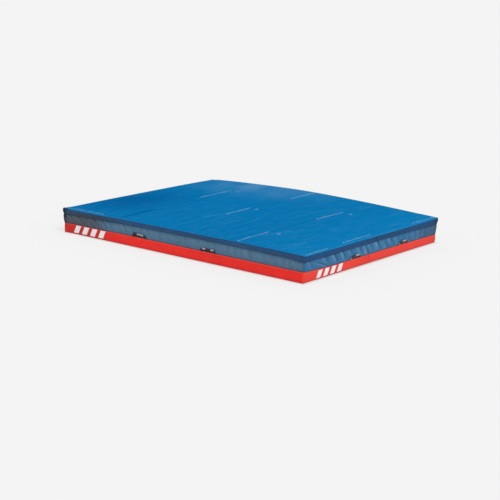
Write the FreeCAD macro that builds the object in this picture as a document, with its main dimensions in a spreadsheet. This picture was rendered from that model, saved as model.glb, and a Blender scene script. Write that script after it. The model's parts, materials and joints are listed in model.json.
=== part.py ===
"""Crash landing mat: a 5 m by 4 m foam mat in a sewn cover, with a thicker wear pad on top.

From the floor up it is a firm foam layer in a red skirt, a soft vented foam layer behind a mesh
band, and an overhanging wear pad with a navy side band and a blue top sheet.  The top is crowned.
Eight webbing loops are sewn into the seam between mesh and skirt, and a zip runs along the back.
Millimetres, +Z up, origin on the floor under the middle of the mat.  The front is -Y, a long side.
"""
import FreeCAD, Part
import math
import os
import re
import Sketcher
from FreeCAD import Placement, Rotation, Vector

doc = FreeCAD.newDocument("LandingMat")

# ---------------------------------------------------------------- driving dimensions
SIZES = {
    # overall
    "mat_length": 5000, "mat_width": 4000, "corner_radius": 45, "overhang": 20,
    # heights of the three zones at the corners, from the floor
    "skirt_height": 180, "core_height": 320, "mat_height": 420,
    # the seam between mesh and skirt runs lower along the two short sides
    "end_seam": 155,
    # crown of the top along its length, at the front, in the middle and at the back
    "crown_front": 22, "crown_middle": 52, "crown_back": 90, "crown_ends": 18,
    # cover cloth, underside and clearances
    "cloth": 2, "underside_thick": 3, "layer_gap": 1, "core_ease": 6, "pad_ease": 10,
    # joins in the cover bands, measured from the middle of the mat
    "skirt_join": 165, "mesh_join": 1492,
    # foam layers
    "block_gap": 4, "vent_width": 60, "vent_depth": 70,
    # hook-and-loop strips that hold the wear pad down
    "strip_width": 50, "strip_inset": 120, "strip_thick": 2,
    # seam binding between mesh and skirt
    "binding_height": 10, "binding_thick": 2.5,
    # webbing loops
    "loop_reach": 68, "loop_span": 320, "loop_top": 232, "webbing_width": 40,
    "foot_flare": 6, "webbing_thick": 4, "loop_standoff": 8, "roll_radius": 3, "loop_seam_rise": 2,
    "long_side_near": 789, "long_side_far": 651, "short_side_near": 573, "short_side_far": 893,
    # anchor tabs on the binding, and the plain patch sewn on each grip
    "anchor_height": 14, "patch_length": 96, "patch_height": 26, "patch_thick": 0.8,
    # slanted bars printed on the skirt near the front-left and right-front corners
    "bar_width": 110, "bar_height": 130, "bar_slant": 60, "bar_pitch": 188, "bar_thick": 0.5,
    "bar_level": 28, "end_bar_height": 114, "long_side_bars": 2280, "short_side_bars": 1640,
    # zip
    "zip_level": 95, "zip_half_length": 2300, "tape_width": 16, "tape_thick": 1.2,
    "chain_width": 8, "chain_thick": 3.2, "stop_length": 10, "stop_width": 12, "stop_thick": 4,
    "slider_length": 26, "slider_width": 18, "slider_top": 8, "slider_clear": 0.6,
    "lug_height": 4.6, "lug_thick": 2, "pin_level": 10.8, "pin_radius": 1.2,
    "pull_length": 42, "pull_width": 8, "pull_thick": 2, "barrel_radius": 2.3, "barrel_bore": 1.5,
}
sheet = doc.addObject("Spreadsheet::Sheet", "Sizes")
for row, (alias, value) in enumerate(SIZES.items(), start=1):
    sheet.set(f"A{row}", alias)
    sheet.set(f"B{row}", str(value))
    sheet.setAlias(f"B{row}", alias)
doc.recompute()

NODES = []          # the objects that become files, in order


def cell(text):
    """The text of an expression, with every size's name pointed at the sheet."""
    return re.sub(r"[a-z]\w*", lambda word: f"Sizes.{word[0]}", text)


def bind(thing, prop, text):
    thing.setExpression(prop, cell(text))


def node(thing, label):
    thing.Label = label
    NODES.append(thing)
    return thing


def place(thing, rotation, x="0", y="0", z="0"):
    """Turn an object, and bind the three coordinates of its origin."""
    thing.Placement = Placement(Vector(0, 0, 0), rotation)
    for axis, text in (("x", x), ("y", y), ("z", z)):
        bind(thing, f"Placement.Base.{axis}", text)
    return thing


# ---------------------------------------------------------------- shared building blocks
def measure(sketch, name, kind, parts, drawn, text):
    """Add a named dimension to a sketch as it is drawn, then bind it to the sheet."""
    index = sketch.addConstraint(Sketcher.Constraint(kind, *parts, float(drawn)))
    sketch.renameConstraint(index, name)
    bind(sketch, f"Constraints.{name}", text)


def rounded_rectangle(sketch, tag, length, width, radius):
    """Four lines and four corner arcs about the sketch's origin, fully constrained."""
    x, y, r = 1000, 500, 100
    first = sketch.GeometryCount
    corners = ((x, -y, -90), (x, y, 0), (-x, y, 90), (-x, -y, 180))
    ends = ((-x + r, -y), (x - r, -y), (x, -y + r), (x, y - r),
            (x - r, y), (-x + r, y), (-x, y - r), (-x, -y + r))
    for side, (cx, cy, turn) in enumerate(corners):
        start, end = ends[2 * side], ends[2 * side + 1]
        sketch.addGeometry(Part.LineSegment(Vector(*start, 0), Vector(*end, 0)))
        centre = Vector(cx - r * (1 if cx > 0 else -1), cy - r * (1 if cy > 0 else -1), 0)
        circle = Part.Circle(centre, Vector(0, 0, 1), r)
        sketch.addGeometry(Part.ArcOfCircle(circle, math.radians(turn), math.radians(turn + 90)))
    for side in range(4):
        line, arc = first + 2 * side, first + 2 * side + 1
        following = first + (2 * side + 2) % 8
        sketch.addConstraint(Sketcher.Constraint("Tangent", line, 2, arc, 1))
        sketch.addConstraint(Sketcher.Constraint("Tangent", arc, 2, following, 1))
        direction = "Vertical" if side % 2 else "Horizontal"
        sketch.addConstraint(Sketcher.Constraint(direction, line))
        if side:
            sketch.addConstraint(Sketcher.Constraint("Equal", first + 1, arc))
    measure(sketch, f"{tag}_radius", "Radius", (first + 1,), r, radius)
    measure(sketch, f"{tag}_front", "DistanceY", (first, 1, -1, 1), y, f"( {width} ) / 2")
    measure(sketch, f"{tag}_right", "DistanceX", (-1, 1, first + 2, 1), x, f"( {length} ) / 2")
    measure(sketch, f"{tag}_back", "DistanceY", (-1, 1, first + 4, 1), y, f"( {width} ) / 2")
    measure(sketch, f"{tag}_left", "DistanceX", (first + 6, 1, -1, 1), x, f"( {length} ) / 2")


def origin_plane(body, role):
    return next(f for f in body.Origin.OriginFeatures if f.Role == role)


def prism(name, inset, low, high, wall=None):
    """A rounded-rectangle prism, inset from the mat's plan, or a ring of it with that wall."""
    body = doc.addObject("PartDesign::Body", name)
    sketch = body.newObject("Sketcher::SketchObject", f"{name}_plan")
    sketch.AttachmentSupport = (origin_plane(body, "XY_Plane"), [""])
    sketch.MapMode = "FlatFace"
    bind(sketch, "AttachmentOffset.Base.z", low)
    steps = [("outer", inset)] + ([("inner", f"{inset} + {wall}")] if wall else [])
    for tag, step in steps:
        rounded_rectangle(sketch, tag, f"mat_length - 2 * ( {step} )",
                          f"mat_width - 2 * ( {step} )", f"corner_radius - ( {step} )")
    pad = body.newObject("PartDesign::Pad", f"{name}_pad")
    pad.Profile = sketch
    bind(pad, "Length", f"{high} - ( {low} )")
    return body


def arched_section(name, depth, crown, raised, low, high, flat_bottom):
    """An upright section of the crowned mat: its top, and if wanted its bottom, is an arc."""
    sketch = doc.addObject("Sketcher::SketchObject", name)
    x, low_z, high_z, rise = 2500, 300, 400, 40
    drawn_arc = (x ** 2 + rise ** 2) / (2 * rise)
    if flat_bottom:
        sketch.addGeometry(Part.LineSegment(Vector(x, low_z, 0), Vector(-x, low_z, 0)))
    else:
        sketch.addGeometry(Part.Arc(Vector(x, low_z, 0), Vector(0, low_z + rise, 0),
                                    Vector(-x, low_z, 0)))
    sketch.addGeometry(Part.LineSegment(Vector(x, low_z, 0), Vector(x, high_z, 0)))
    sketch.addGeometry(Part.Arc(Vector(x, high_z, 0), Vector(0, high_z + rise, 0),
                                Vector(-x, high_z, 0)))
    sketch.addGeometry(Part.LineSegment(Vector(-x, high_z, 0), Vector(-x, low_z, 0)))
    for joined in ((0, 1, 1, 1), (1, 2, 2, 1), (2, 2, 3, 1), (3, 2, 0, 2)):
        sketch.addConstraint(Sketcher.Constraint("Coincident", *joined))
    sketch.addConstraint(Sketcher.Constraint("Vertical", 1))
    sketch.addConstraint(Sketcher.Constraint("Symmetric", 2, 1, 2, 2, -2))
    sketch.addConstraint(Sketcher.Constraint("Symmetric", 0, 1, 0, 2, -2))
    arc_radius = f"( ( mat_length / 2 ) ^ 2 + ( {crown} ) ^ 2 ) / ( 2 * ( {crown} ) )"
    measure(sketch, "half_length", "DistanceX", (-1, 1, 1, 2), x, "mat_length / 2")
    measure(sketch, "top_level", "DistanceY", (-1, 1, 1, 2), high_z, f"{high} + {raised}")
    bottom = low if flat_bottom else f"{low} + {raised}"
    measure(sketch, "bottom_level", "DistanceY", (-1, 1, 1, 1), low_z, bottom)
    measure(sketch, "top_arc", "Radius", (2,), drawn_arc, arc_radius)
    if not flat_bottom:
        measure(sketch, "bottom_arc", "Radius", (0,), drawn_arc, arc_radius)
    return place(sketch, Rotation(Vector(1, 0, 0), 90), y=depth)


def crowned_layer(name, low, high, flat_bottom=False):
    """The space between two levels of the mat, both following the crown unless the low is flat."""
    sections = [
        arched_section(f"{name}_front", "-mat_width / 2", "crown_front", "0", low, high, flat_bottom),
        arched_section(f"{name}_middle", "0", "crown_middle", "crown_ends", low, high, flat_bottom),
        arched_section(f"{name}_back", "mat_width / 2", "crown_back", "0", low, high, flat_bottom),
    ]
    loft = doc.addObject("Part::Loft", name)
    loft.Sections = sections
    loft.Solid = True
    return loft


def common(name, base, tool):
    both = doc.addObject("Part::Common", name)
    both.Base = base
    both.Tool = tool
    return both


def cut(name, base, tool):
    rest = doc.addObject("Part::Cut", name)
    rest.Base = base
    rest.Tool = tool
    return rest


def fuse(name, shapes):
    whole = doc.addObject("Part::MultiFuse", name)
    whole.Shapes = shapes
    return whole


def box(name, x, y, z, length, width, height):
    """A box with its low corner at x, y, z."""
    block = doc.addObject("Part::Box", name)
    for prop, text in (("Length", length), ("Width", width), ("Height", height)):
        bind(block, prop, text)
    return place(block, Rotation(), x, y, z)


def cylinder(name, radius, height, rotation, x="0", y="0", z="0"):
    rod = doc.addObject("Part::Cylinder", name)
    bind(rod, "Radius", radius)
    bind(rod, "Height", height)
    return place(rod, rotation, x, y, z)


TALL = "mat_height + crown_back + 100"     # clears the top of the crown everywhere
SIDES = {"front": 0, "right": 90, "back": 180, "left": 270}


def outward(side):
    """Local X along that side of the mat, local Y up and local Z away from the mat."""
    return Rotation(Vector(0, 0, 1), SIDES[side]) * Rotation(Vector(1, 0, 0), 90)


def on_side(thing, side, along, off, level):
    """Place a piece on a side wall, 'along' to its middle and 'off' clear of its face."""
    wall = "mat_width / 2 - overhang" if side in ("front", "back") else "mat_length / 2 - overhang"
    away = f"( {wall} + {off} )"
    along = f"( {along} )"
    x, y = {"front": (along, f"-1 * {away}"), "right": (away, along),
            "back": (f"-1 * {along}", away), "left": (f"-1 * {away}", f"-1 * {along}")}[side]
    return place(thing, outward(side), x, y, level)


# ---------------------------------------------------------------- foam core
INSIDE = "overhang + cloth + core_ease"
CORE_PLAN_X = f"( mat_length / 2 - ( {INSIDE} ) )"
CORE_PLAN_Y = f"( mat_width / 2 - ( {INSIDE} ) )"
BASE_LOW = "underside_thick + layer_gap"
CHAMBER_LOW = "skirt_height - layer_gap"
CHAMBER_HIGH = "core_height - cloth - layer_gap"
VENTS_PER_BLOCK = 8


def quarter(name, side_x, side_y, low, high):
    """A box over one quarter of the core's plan."""
    length = f"{CORE_PLAN_X} - block_gap / 2"
    width = f"{CORE_PLAN_Y} - block_gap / 2"
    x = "block_gap / 2" if side_x == "right" else f"-1 * {CORE_PLAN_X}"
    y = "block_gap / 2" if side_y == "back" else f"-1 * {CORE_PLAN_Y}"
    return box(name, x, y, low, length, width, f"{high} - ( {low} )")


def firm_block(side_y, side_x):
    name = f"base_foam_{side_y}_{side_x}"
    plan = prism(f"{name}_plan", INSIDE, BASE_LOW, CHAMBER_LOW)
    node(common(name, plan, quarter(f"{name}_box", side_x, side_y, BASE_LOW, CHAMBER_LOW)), name)


def vented_block(side_y, side_x):
    """Soft foam whose underside is cut with channels that let the air out to the mesh."""
    name = f"vented_foam_{side_y}_{side_x}"
    plan = common(f"{name}_side", prism(f"{name}_plan", INSIDE, CHAMBER_LOW, TALL),
                  quarter(f"{name}_box", side_x, side_y, CHAMBER_LOW, TALL))
    crown = crowned_layer(f"{name}_crown", CHAMBER_LOW, CHAMBER_HIGH, True)
    whole = common(f"{name}_whole", crown, plan)
    pitch = f"( {CORE_PLAN_X} / {VENTS_PER_BLOCK} )"
    y = "0" if side_y == "back" else f"-1 * {CORE_PLAN_Y} - 10"
    vents = []
    for number in range(VENTS_PER_BLOCK):
        middle = f"{pitch} * ( {number} + 0.5 )"
        x = middle if side_x == "right" else f"-1 * {middle}"
        vents.append(box(f"{name}_vent_{number}", f"{x} - vent_width / 2", y, f"{CHAMBER_LOW} - 10",
                         "vent_width", f"{CORE_PLAN_Y} + 10", "vent_depth + 10"))
    node(cut(name, whole, fuse(f"{name}_vents", vents)), name)


def foam_core():
    for side_y in ("front", "back"):
        for side_x in ("left", "right"):
            firm_block(side_y, side_x)
            vented_block(side_y, side_x)


# ---------------------------------------------------------------- lower cover
def half_space(name, axis, from_text, to_text):
    """A tall box over the plan between two limits on one axis."""
    reach_x, reach_y = "mat_length", "mat_width"
    if axis == "y":
        return box(name, f"-{reach_x}", from_text, "-10", f"2 * {reach_x}",
                   f"( {to_text} ) - ( {from_text} )", TALL)
    return box(name, from_text, f"-{reach_y}", "-10", f"( {to_text} ) - ( {from_text} )",
               f"2 * {reach_y}", TALL)


def underside_sheet():
    node(prism("underside_sheet", "overhang", "0", "underside_thick"), "underside_sheet")


def end_zone(name, low, height):
    """Two boxes over the short sides and the corners beside them."""
    start = "mat_length / 2 - corner_radius"
    return fuse(name, [
        box(f"{name}_{number}", x, "-1 * mat_width", low, "corner_radius + overhang",
            "2 * mat_width", height)
        for number, x in enumerate((start, "-1 * mat_length / 2 - overhang"))])


def middle_zone(name, low, height):
    """A box over everything between the corners of the long sides."""
    half = "( mat_length / 2 - corner_radius )"
    return box(name, f"-1 * {half}", "-1 * mat_width", low, f"2 * {half}", "2 * mat_width", height)


def base_skirt():
    """The red band, in two lengths joined on the short sides, where its top steps down."""
    spans = {"front": ("-mat_width", "-1 * skirt_join"), "rear": ("-1 * skirt_join", "mat_width")}
    for half, (start, end) in spans.items():
        ring = prism(f"skirt_{half}_ring", "overhang", "underside_thick", "skirt_height", "cloth")
        name = f"base_skirt_{half}"
        stepped = cut(f"{name}_stepped", ring, end_zone(f"{name}_step", "end_seam", TALL))
        node(common(name, stepped, half_space(f"{name}_half", "y", start, end)), name)


def mesh_band():
    """The breathing band, in two lengths joined near the right end of the long sides."""
    spans = {"left": ("-mat_length", "mesh_join"), "right": ("mesh_join", "mat_length")}
    for half, (start, end) in spans.items():
        ring = prism(f"mesh_{half}_ring", "overhang", "end_seam", TALL, "cloth")
        above = cut(f"mesh_{half}_above", ring,
                    middle_zone(f"mesh_{half}_middle", "0", "skirt_height"))
        side = common(f"mesh_{half}_side", above, half_space(f"mesh_{half}_half", "x", start, end))
        crown = crowned_layer(f"mesh_{half}_crown", "end_seam", "core_height", True)
        name = f"mesh_band_{half}"
        node(common(name, crown, side), name)


def seam_binding():
    """The tape over the seam, at its two levels."""
    lengths = []
    for run, level, zone in (("long", "skirt_height", middle_zone), ("end", "end_seam", end_zone)):
        ring = prism(f"binding_{run}_ring", "overhang - binding_thick",
                     f"{level} - binding_height / 2", f"{level} + binding_height / 2",
                     "binding_thick")
        lengths.append(common(f"binding_{run}", ring, zone(f"binding_{run}_zone", "0", TALL)))
    node(fuse("seam_binding", lengths), "seam_binding")


def core_lid():
    crown = crowned_layer("core_lid_crown", "core_height - cloth", "core_height")
    inner = prism("core_lid_plan", "overhang + cloth", "skirt_height", TALL)
    node(common("core_lid_sheet", crown, inner), "core_lid_sheet")


# ---------------------------------------------------------------- wear pad
PAD_LOW = "core_height + 2 * strip_thick"


def strip_plan(name):
    """Four strips near the edges of the core, as tall boxes."""
    edge = "strip_inset + overhang"
    long_run = f"mat_length - 2 * ( {edge} ) - 3 * strip_width"
    short_run = f"mat_width - 2 * ( {edge} ) - 3 * strip_width"
    low, tall = "skirt_height", TALL
    return fuse(name, [
        box(f"{name}_front", f"-1 * ( {long_run} ) / 2", f"-mat_width / 2 + {edge}", low,
            long_run, "strip_width", tall),
        box(f"{name}_back", f"-1 * ( {long_run} ) / 2", f"mat_width / 2 - ( {edge} ) - strip_width",
            low, long_run, "strip_width", tall),
        box(f"{name}_left", f"-mat_length / 2 + {edge}", f"-1 * ( {short_run} ) / 2", low,
            "strip_width", short_run, tall),
        box(f"{name}_right", f"mat_length / 2 - ( {edge} ) - strip_width",
            f"-1 * ( {short_run} ) / 2", low, "strip_width", short_run, tall),
    ])


def hook_and_loop():
    levels = {"loop_strips": ("core_height", "core_height + strip_thick"),
              "hook_strips": ("core_height + strip_thick", PAD_LOW)}
    for name, (low, high) in levels.items():
        node(common(name, crowned_layer(f"{name}_crown", low, high), strip_plan(f"{name}_plan")), name)


def wear_pad():
    """The overhanging pad: underside sheet, foam, side band and top sheet, all crowned alike."""
    layers = {
        "pad_underside": (PAD_LOW, f"{PAD_LOW} + cloth", "cloth", None),
        "pad_foam": (f"{PAD_LOW} + cloth + layer_gap", "mat_height - cloth - layer_gap",
                     "cloth + pad_ease", None),
        "top_sheet": ("mat_height - cloth", "mat_height", "0", None),
    }
    for name, (low, high, inset, wall) in layers.items():
        plan = prism(f"{name}_plan", inset, "skirt_height", TALL, wall)
        node(common(name, crowned_layer(f"{name}_crown", low, high), plan), name)
    spans = {"front": ("-mat_width", "0"), "rear": ("0", "mat_width")}
    for half, (start, end) in spans.items():
        name = f"side_band_{half}"
        ring = prism(f"{name}_ring", "0", "skirt_height", TALL, "cloth")
        side = common(f"{name}_side", ring, half_space(f"{name}_half", "y", start, end))
        crown = crowned_layer(f"{name}_crown", PAD_LOW, "mat_height - cloth")
        node(common(name, crown, side), name)


# ---------------------------------------------------------------- webbing loops
LOOPS = [("front", "left", "-1 * long_side_near"), ("front", "right", "long_side_far"),
         ("right", "front", "-1 * short_side_near"), ("right", "back", "short_side_far"),
         ("back", "right", "-1 * long_side_near"), ("back", "left", "long_side_far"),
         ("left", "back", "-1 * short_side_near"), ("left", "front", "short_side_far")]


def seam_level(side):
    """The height of the seam that a side's webbing is sewn to."""
    return "skirt_height" if side in ("front", "back") else "end_seam"


def webbing_outline(sketch):
    """A low trapezoid arch of constant webbing width, open between its feet."""
    points = ((-160, 0), (-113, 80), (113, 80), (160, 0), (112, 0), (86, 38), (-86, 38), (-112, 0))
    count = len(points)
    for index, point in enumerate(points):
        following = points[(index + 1) % count]
        sketch.addGeometry(Part.LineSegment(Vector(*point, 0), Vector(*following, 0)))
    for index in range(count):
        sketch.addConstraint(Sketcher.Constraint("Coincident", index, 2, (index + 1) % count, 1))
    sketch.addConstraint(Sketcher.Constraint("Horizontal", 3))
    for pair in ((0, 1, 3, 1), (1, 1, 2, 1), (4, 1, 7, 1), (5, 1, 6, 1)):
        sketch.addConstraint(Sketcher.Constraint("Symmetric", *pair, -2))
    sketch.addConstraint(Sketcher.Constraint("Parallel", 2, 4))
    sketch.addConstraint(Sketcher.Constraint("PointOnObject", 3, 1, -1))
    measure(sketch, "half_span", "DistanceX", (-1, 1, 3, 1), 160, "loop_span / 2")
    measure(sketch, "half_top", "DistanceX", (-1, 1, 2, 1), 113, "loop_top / 2")
    measure(sketch, "reach", "DistanceY", (-1, 1, 2, 1), 80, "loop_reach")
    measure(sketch, "grip_width", "DistanceY", (5, 1, 2, 1), 42, "webbing_width")
    measure(sketch, "foot_width", "DistanceX", (4, 1, 3, 1), 48, "webbing_width + foot_flare")


def webbing_loop(side, end, along):
    """One carry loop: flat webbing, and at each foot the sewn roll that it turns about."""
    name = f"handle_{side}_{end}"
    body = doc.addObject("PartDesign::Body", f"{name}_webbing")
    sketch = body.newObject("Sketcher::SketchObject", f"{name}_outline")
    sketch.AttachmentSupport = (origin_plane(body, "XY_Plane"), [""])
    sketch.MapMode = "FlatFace"
    webbing_outline(sketch)
    pad = body.newObject("PartDesign::Pad", f"{name}_pad")
    pad.Profile = sketch
    pad.Midplane = True
    bind(pad, "Length", "webbing_thick")
    foot = "( webbing_width + foot_flare )"
    rolls = [cylinder(f"{name}_roll_{number}", "roll_radius", foot, Rotation(Vector(0, 1, 0), 90), x)
             for number, x in enumerate(("-1 * loop_span / 2", f"loop_span / 2 - {foot}"))]
    loop = fuse(name, [body] + rolls)
    level = f"{seam_level(side)} + loop_seam_rise"
    node(on_side(loop, side, along, "loop_standoff", level), name)


def grip_patch(side, end, along):
    name = f"handle_patch_{side}_{end}"
    patch = doc.addObject("Part::Box", name)
    for prop, text in (("Length", "patch_length"), ("Width", "patch_height"),
                       ("Height", "patch_thick")):
        bind(patch, prop, text)
    level = (f"{seam_level(side)} + loop_seam_rise + loop_reach - webbing_width / 2"
             " - patch_height / 2")
    node(on_side(patch, side, f"{along} - patch_length / 2", "loop_standoff + webbing_thick / 2",
                 level), name)


def anchor_tabs():
    """The webbing ends behind each foot, welded flat on the binding."""
    tabs = []
    for side, end, along in LOOPS:
        for number, sign in enumerate(("-1", "1")):
            tab = doc.addObject("Part::Box", f"anchor_{side}_{end}_{number}")
            bind(tab, "Length", "webbing_width")
            bind(tab, "Width", "anchor_height")
            bind(tab, "Height", "webbing_thick / 2")
            middle = f"{along} + {sign} * ( loop_span / 2 - ( webbing_width + foot_flare ) / 2 )"
            start = f"{middle} - webbing_width / 2"
            tabs.append(on_side(tab, side, start, "binding_thick",
                                f"{seam_level(side)} - anchor_height / 2"))
    group = doc.addObject("Part::Compound", "handle_anchor_tabs")
    group.Links = tabs
    node(group, "handle_anchor_tabs")


# ---------------------------------------------------------------- bars printed on the skirt
BARS = 4


def slanted_bars(side, start, tall):
    """A row of equal slanted bars, welded flat on the skirt, as tall as the size called 'tall'."""
    name = f"skirt_bars_{side}"
    sketch = doc.addObject("Sketcher::SketchObject", f"{name}_outline")
    width, height, slant, pitch = 110, SIZES[tall], 60, 188
    for number in range(BARS):
        x = pitch * (number + 0.5)
        corners = ((x, 0), (x + width, 0), (x + width + slant, height), (x + slant, height))
        first = sketch.GeometryCount
        for index, corner in enumerate(corners):
            following = corners[(index + 1) % 4]
            sketch.addGeometry(Part.LineSegment(Vector(*corner, 0), Vector(*following, 0)))
        bottom, right, top, left = range(first, first + 4)
        for pair in ((bottom, right), (right, top), (top, left), (left, bottom)):
            sketch.addConstraint(Sketcher.Constraint("Coincident", pair[0], 2, pair[1], 1))
        sketch.addConstraint(Sketcher.Constraint("Horizontal", bottom))
        sketch.addConstraint(Sketcher.Constraint("Horizontal", top))
        sketch.addConstraint(Sketcher.Constraint("Parallel", left, right))
        sketch.addConstraint(Sketcher.Constraint("PointOnObject", bottom, 1, -1))
        measure(sketch, f"start_{number}", "DistanceX", (-1, 1, bottom, 1), x,
                f"bar_pitch * {number + 0.5}")
        measure(sketch, f"width_{number}", "DistanceX", (bottom, 1, bottom, 2), width, "bar_width")
        measure(sketch, f"slant_{number}", "DistanceX", (right, 1, right, 2), slant, "bar_slant")
        measure(sketch, f"height_{number}", "DistanceY", (right, 1, right, 2), height, tall)
    on_side(sketch, side, start, "0", "bar_level")
    bars = doc.addObject("Part::Extrusion", name)
    bars.Base = sketch
    bars.Solid = True
    bars.DirMode = "Normal"
    bind(bars, "LengthFwd", "bar_thick")
    node(bars, name)


# ---------------------------------------------------------------- zip on the back
def local_box(name, u, v, w, length, height, depth):
    """A box in a side wall's own axes, not yet placed on that wall."""
    return box(name, u, v, w, length, height, depth)


def zip_strip(name, rise, height, depth):
    """A strip along the whole zip, with its low edge 'rise' above the middle of the chain."""
    strip = doc.addObject("Part::Box", name)
    for prop, text in (("Length", "2 * zip_half_length"), ("Width", height), ("Height", depth)):
        bind(strip, prop, text)
    node(on_side(strip, "back", "-1 * zip_half_length", "0", f"zip_level + {rise}"), name)


def zip_tapes_and_chain():
    zip_strip("zip_tape_upper", "chain_width / 2", "tape_width", "tape_thick")
    zip_strip("zip_tape_lower", "-1 * chain_width / 2 - tape_width", "tape_width", "tape_thick")
    zip_strip("zip_chain", "-1 * chain_width / 2", "chain_width", "chain_thick")
    stops = [local_box(f"zip_stop_{number}", u, "-1 * stop_width / 2", "0", "stop_length",
                       "stop_width", "stop_thick")
             for number, u in enumerate(("zip_half_length", "-1 * zip_half_length - stop_length"))]
    group = doc.addObject("Part::Compound", "zip_end_stops")
    group.Links = stops
    node(on_side(group, "back", "0", "0", "zip_level"), "zip_end_stops")


# The slider rests against the stop at the closed end: its distance along the back wall.
SLIDER_REST = "zip_half_length - slider_length / 2 - slider_clear"


def zip_slider():
    """A channel that rides over the chain, with two lugs that hold the pull's pin."""
    low = "tape_thick + slider_clear"
    shell = local_box("slider_block", "-1 * slider_length / 2", "-1 * slider_width / 2", low,
                      "slider_length", "slider_width", f"slider_top - ( {low} )")
    channel = local_box("slider_channel", "-1 * slider_length",
                        "-1 * chain_width / 2 - slider_clear", "0", "2 * slider_length",
                        "chain_width + 2 * slider_clear", "chain_thick + slider_clear")
    lugs = [local_box(f"slider_lug_{number}", "-1 * lug_height / 2", v, "slider_top - 0.5",
                      "lug_height", "lug_thick", "lug_height + 0.5")
            for number, v in enumerate(("pull_width / 2 + slider_clear",
                                        "-1 * pull_width / 2 - slider_clear - lug_thick"))]
    pin = cylinder("slider_pin", "pin_radius", "pull_width + 2 * ( slider_clear + lug_thick )",
                   Rotation(Vector(1, 0, 0), -90),
                   y="-1 * pull_width / 2 - slider_clear - lug_thick", z="pin_level")
    body = fuse("zip_slider", [cut("slider_shell", shell, channel)] + lugs + [pin])
    node(on_side(body, "back", SLIDER_REST, "0", "zip_level"), "zip_slider")


def zip_pull():
    """A tab with a barrel round the pin and a finger hole at its end."""
    along = Rotation(Vector(1, 0, 0), -90)
    barrel = cylinder("pull_barrel", "barrel_radius", "pull_width", along,
                      y="-1 * pull_width / 2", z="pin_level")
    tab = local_box("pull_tab", "-1 * pull_length", "-1 * pull_width / 2",
                    "pin_level + barrel_radius - pull_thick", "pull_length", "pull_width",
                    "pull_thick")
    bore = cylinder("pull_bore", "barrel_bore", "pull_width + 4", along,
                    y="-1 * pull_width / 2 - 2", z="pin_level")
    hole = cylinder("pull_hole", "pull_width / 4", "20", Rotation(), x="-1 * pull_length + pull_width / 2",
                    z="pin_level - 5")
    body = cut("zip_pull", fuse("pull_body", [barrel, tab]), fuse("pull_holes", [bore, hole]))
    node(on_side(body, "back", SLIDER_REST, "0", "zip_level"), "zip_pull")


# ---------------------------------------------------------------- build, check and write
foam_core()
underside_sheet()
base_skirt()
mesh_band()
seam_binding()
core_lid()
hook_and_loop()
wear_pad()
for loop_side, loop_end, loop_along in LOOPS:
    webbing_loop(loop_side, loop_end, loop_along)
    grip_patch(loop_side, loop_end, loop_along)
anchor_tabs()
slanted_bars("front", "-1 * long_side_bars - bar_pitch / 2", "bar_height")
slanted_bars("right", "-1 * short_side_bars - bar_pitch / 2", "end_bar_height")
zip_tapes_and_chain()
zip_slider()
zip_pull()
doc.recompute()

failed = [f"{thing.Label}: {thing.State}" for thing in doc.Objects
          if {"Invalid", "Error"} & set(thing.State)]
failed += [f"{thing.Label}: bad shape" for thing in NODES
           if thing.Shape.isNull() or not thing.Shape.isValid() or not thing.Shape.Solids]
if failed:
    raise RuntimeError("these objects failed:\n" + "\n".join(failed))

os.makedirs("parts", exist_ok=True)
for thing in NODES:
    thing.Shape.exportStep(os.path.join("parts", f"{thing.Label}.step"))
    size = thing.Shape.BoundBox
    print(f"{thing.Label:28s} {len(thing.Shape.Solids):2d} solids {thing.Shape.Volume / 1e3:12.1f} cm3 "
          f"x {size.XMin:8.1f} {size.XMax:8.1f} y {size.YMin:8.1f} {size.YMax:8.1f} "
          f"z {size.ZMin:6.1f} {size.ZMax:6.1f}")
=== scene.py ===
"""Crash landing mat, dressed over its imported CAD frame.  Metres, +Z up, the front is -Y.

The cover is made of strips that run right round the mat.  Each strip's surface is a function of
the distance round the mat and of the height, so that seams, bars and stitches can be laid on it.
"""
import json
import math

import bpy
import numpy as np
from mathutils import Matrix, Vector


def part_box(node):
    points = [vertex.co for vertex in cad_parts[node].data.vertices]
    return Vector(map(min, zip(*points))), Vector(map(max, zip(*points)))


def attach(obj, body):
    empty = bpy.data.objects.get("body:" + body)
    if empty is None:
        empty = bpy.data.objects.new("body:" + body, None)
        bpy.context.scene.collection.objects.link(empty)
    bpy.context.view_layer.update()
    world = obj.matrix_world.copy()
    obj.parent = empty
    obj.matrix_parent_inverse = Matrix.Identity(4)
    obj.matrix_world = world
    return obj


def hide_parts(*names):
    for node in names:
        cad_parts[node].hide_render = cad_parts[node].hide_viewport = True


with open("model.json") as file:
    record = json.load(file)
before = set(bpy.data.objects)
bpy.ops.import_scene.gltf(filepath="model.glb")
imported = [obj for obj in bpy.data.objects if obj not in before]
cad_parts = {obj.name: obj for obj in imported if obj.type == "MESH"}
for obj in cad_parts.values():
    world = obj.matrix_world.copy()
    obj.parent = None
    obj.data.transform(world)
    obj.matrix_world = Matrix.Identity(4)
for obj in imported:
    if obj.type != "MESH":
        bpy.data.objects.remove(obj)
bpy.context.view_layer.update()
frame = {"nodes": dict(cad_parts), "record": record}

# ---------------------------------------------------------------- sizes taken from the frame
HALF_X, HALF_Y = (float(size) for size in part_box("top_sheet")[1][:2])
INSET = HALF_X - float(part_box("underside_sheet")[1][0])   # the body stands this far back
TOP_Z = 0.420                                   # the top at the corners
CORNER = 0.045                                  # the pad's corner radius in plan
ROLL = 0.018                                    # radius of the pad's top edge

CROWN_FRONT, CROWN_MIDDLE, CROWN_BACK, CROWN_ENDS = 0.022, 0.052, 0.090, 0.018
CORE_Z = 0.320                                  # the top of the core, under the pad, at the corners
PAD_UNDER_Z = CORE_Z + 0.004
LONG_SEAM = float(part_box("base_skirt_front")[1][2])   # the seam between skirt and mesh
END_SEAM = float(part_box("seam_binding")[0][2]) + 0.005   # the same seam on the short sides

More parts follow.
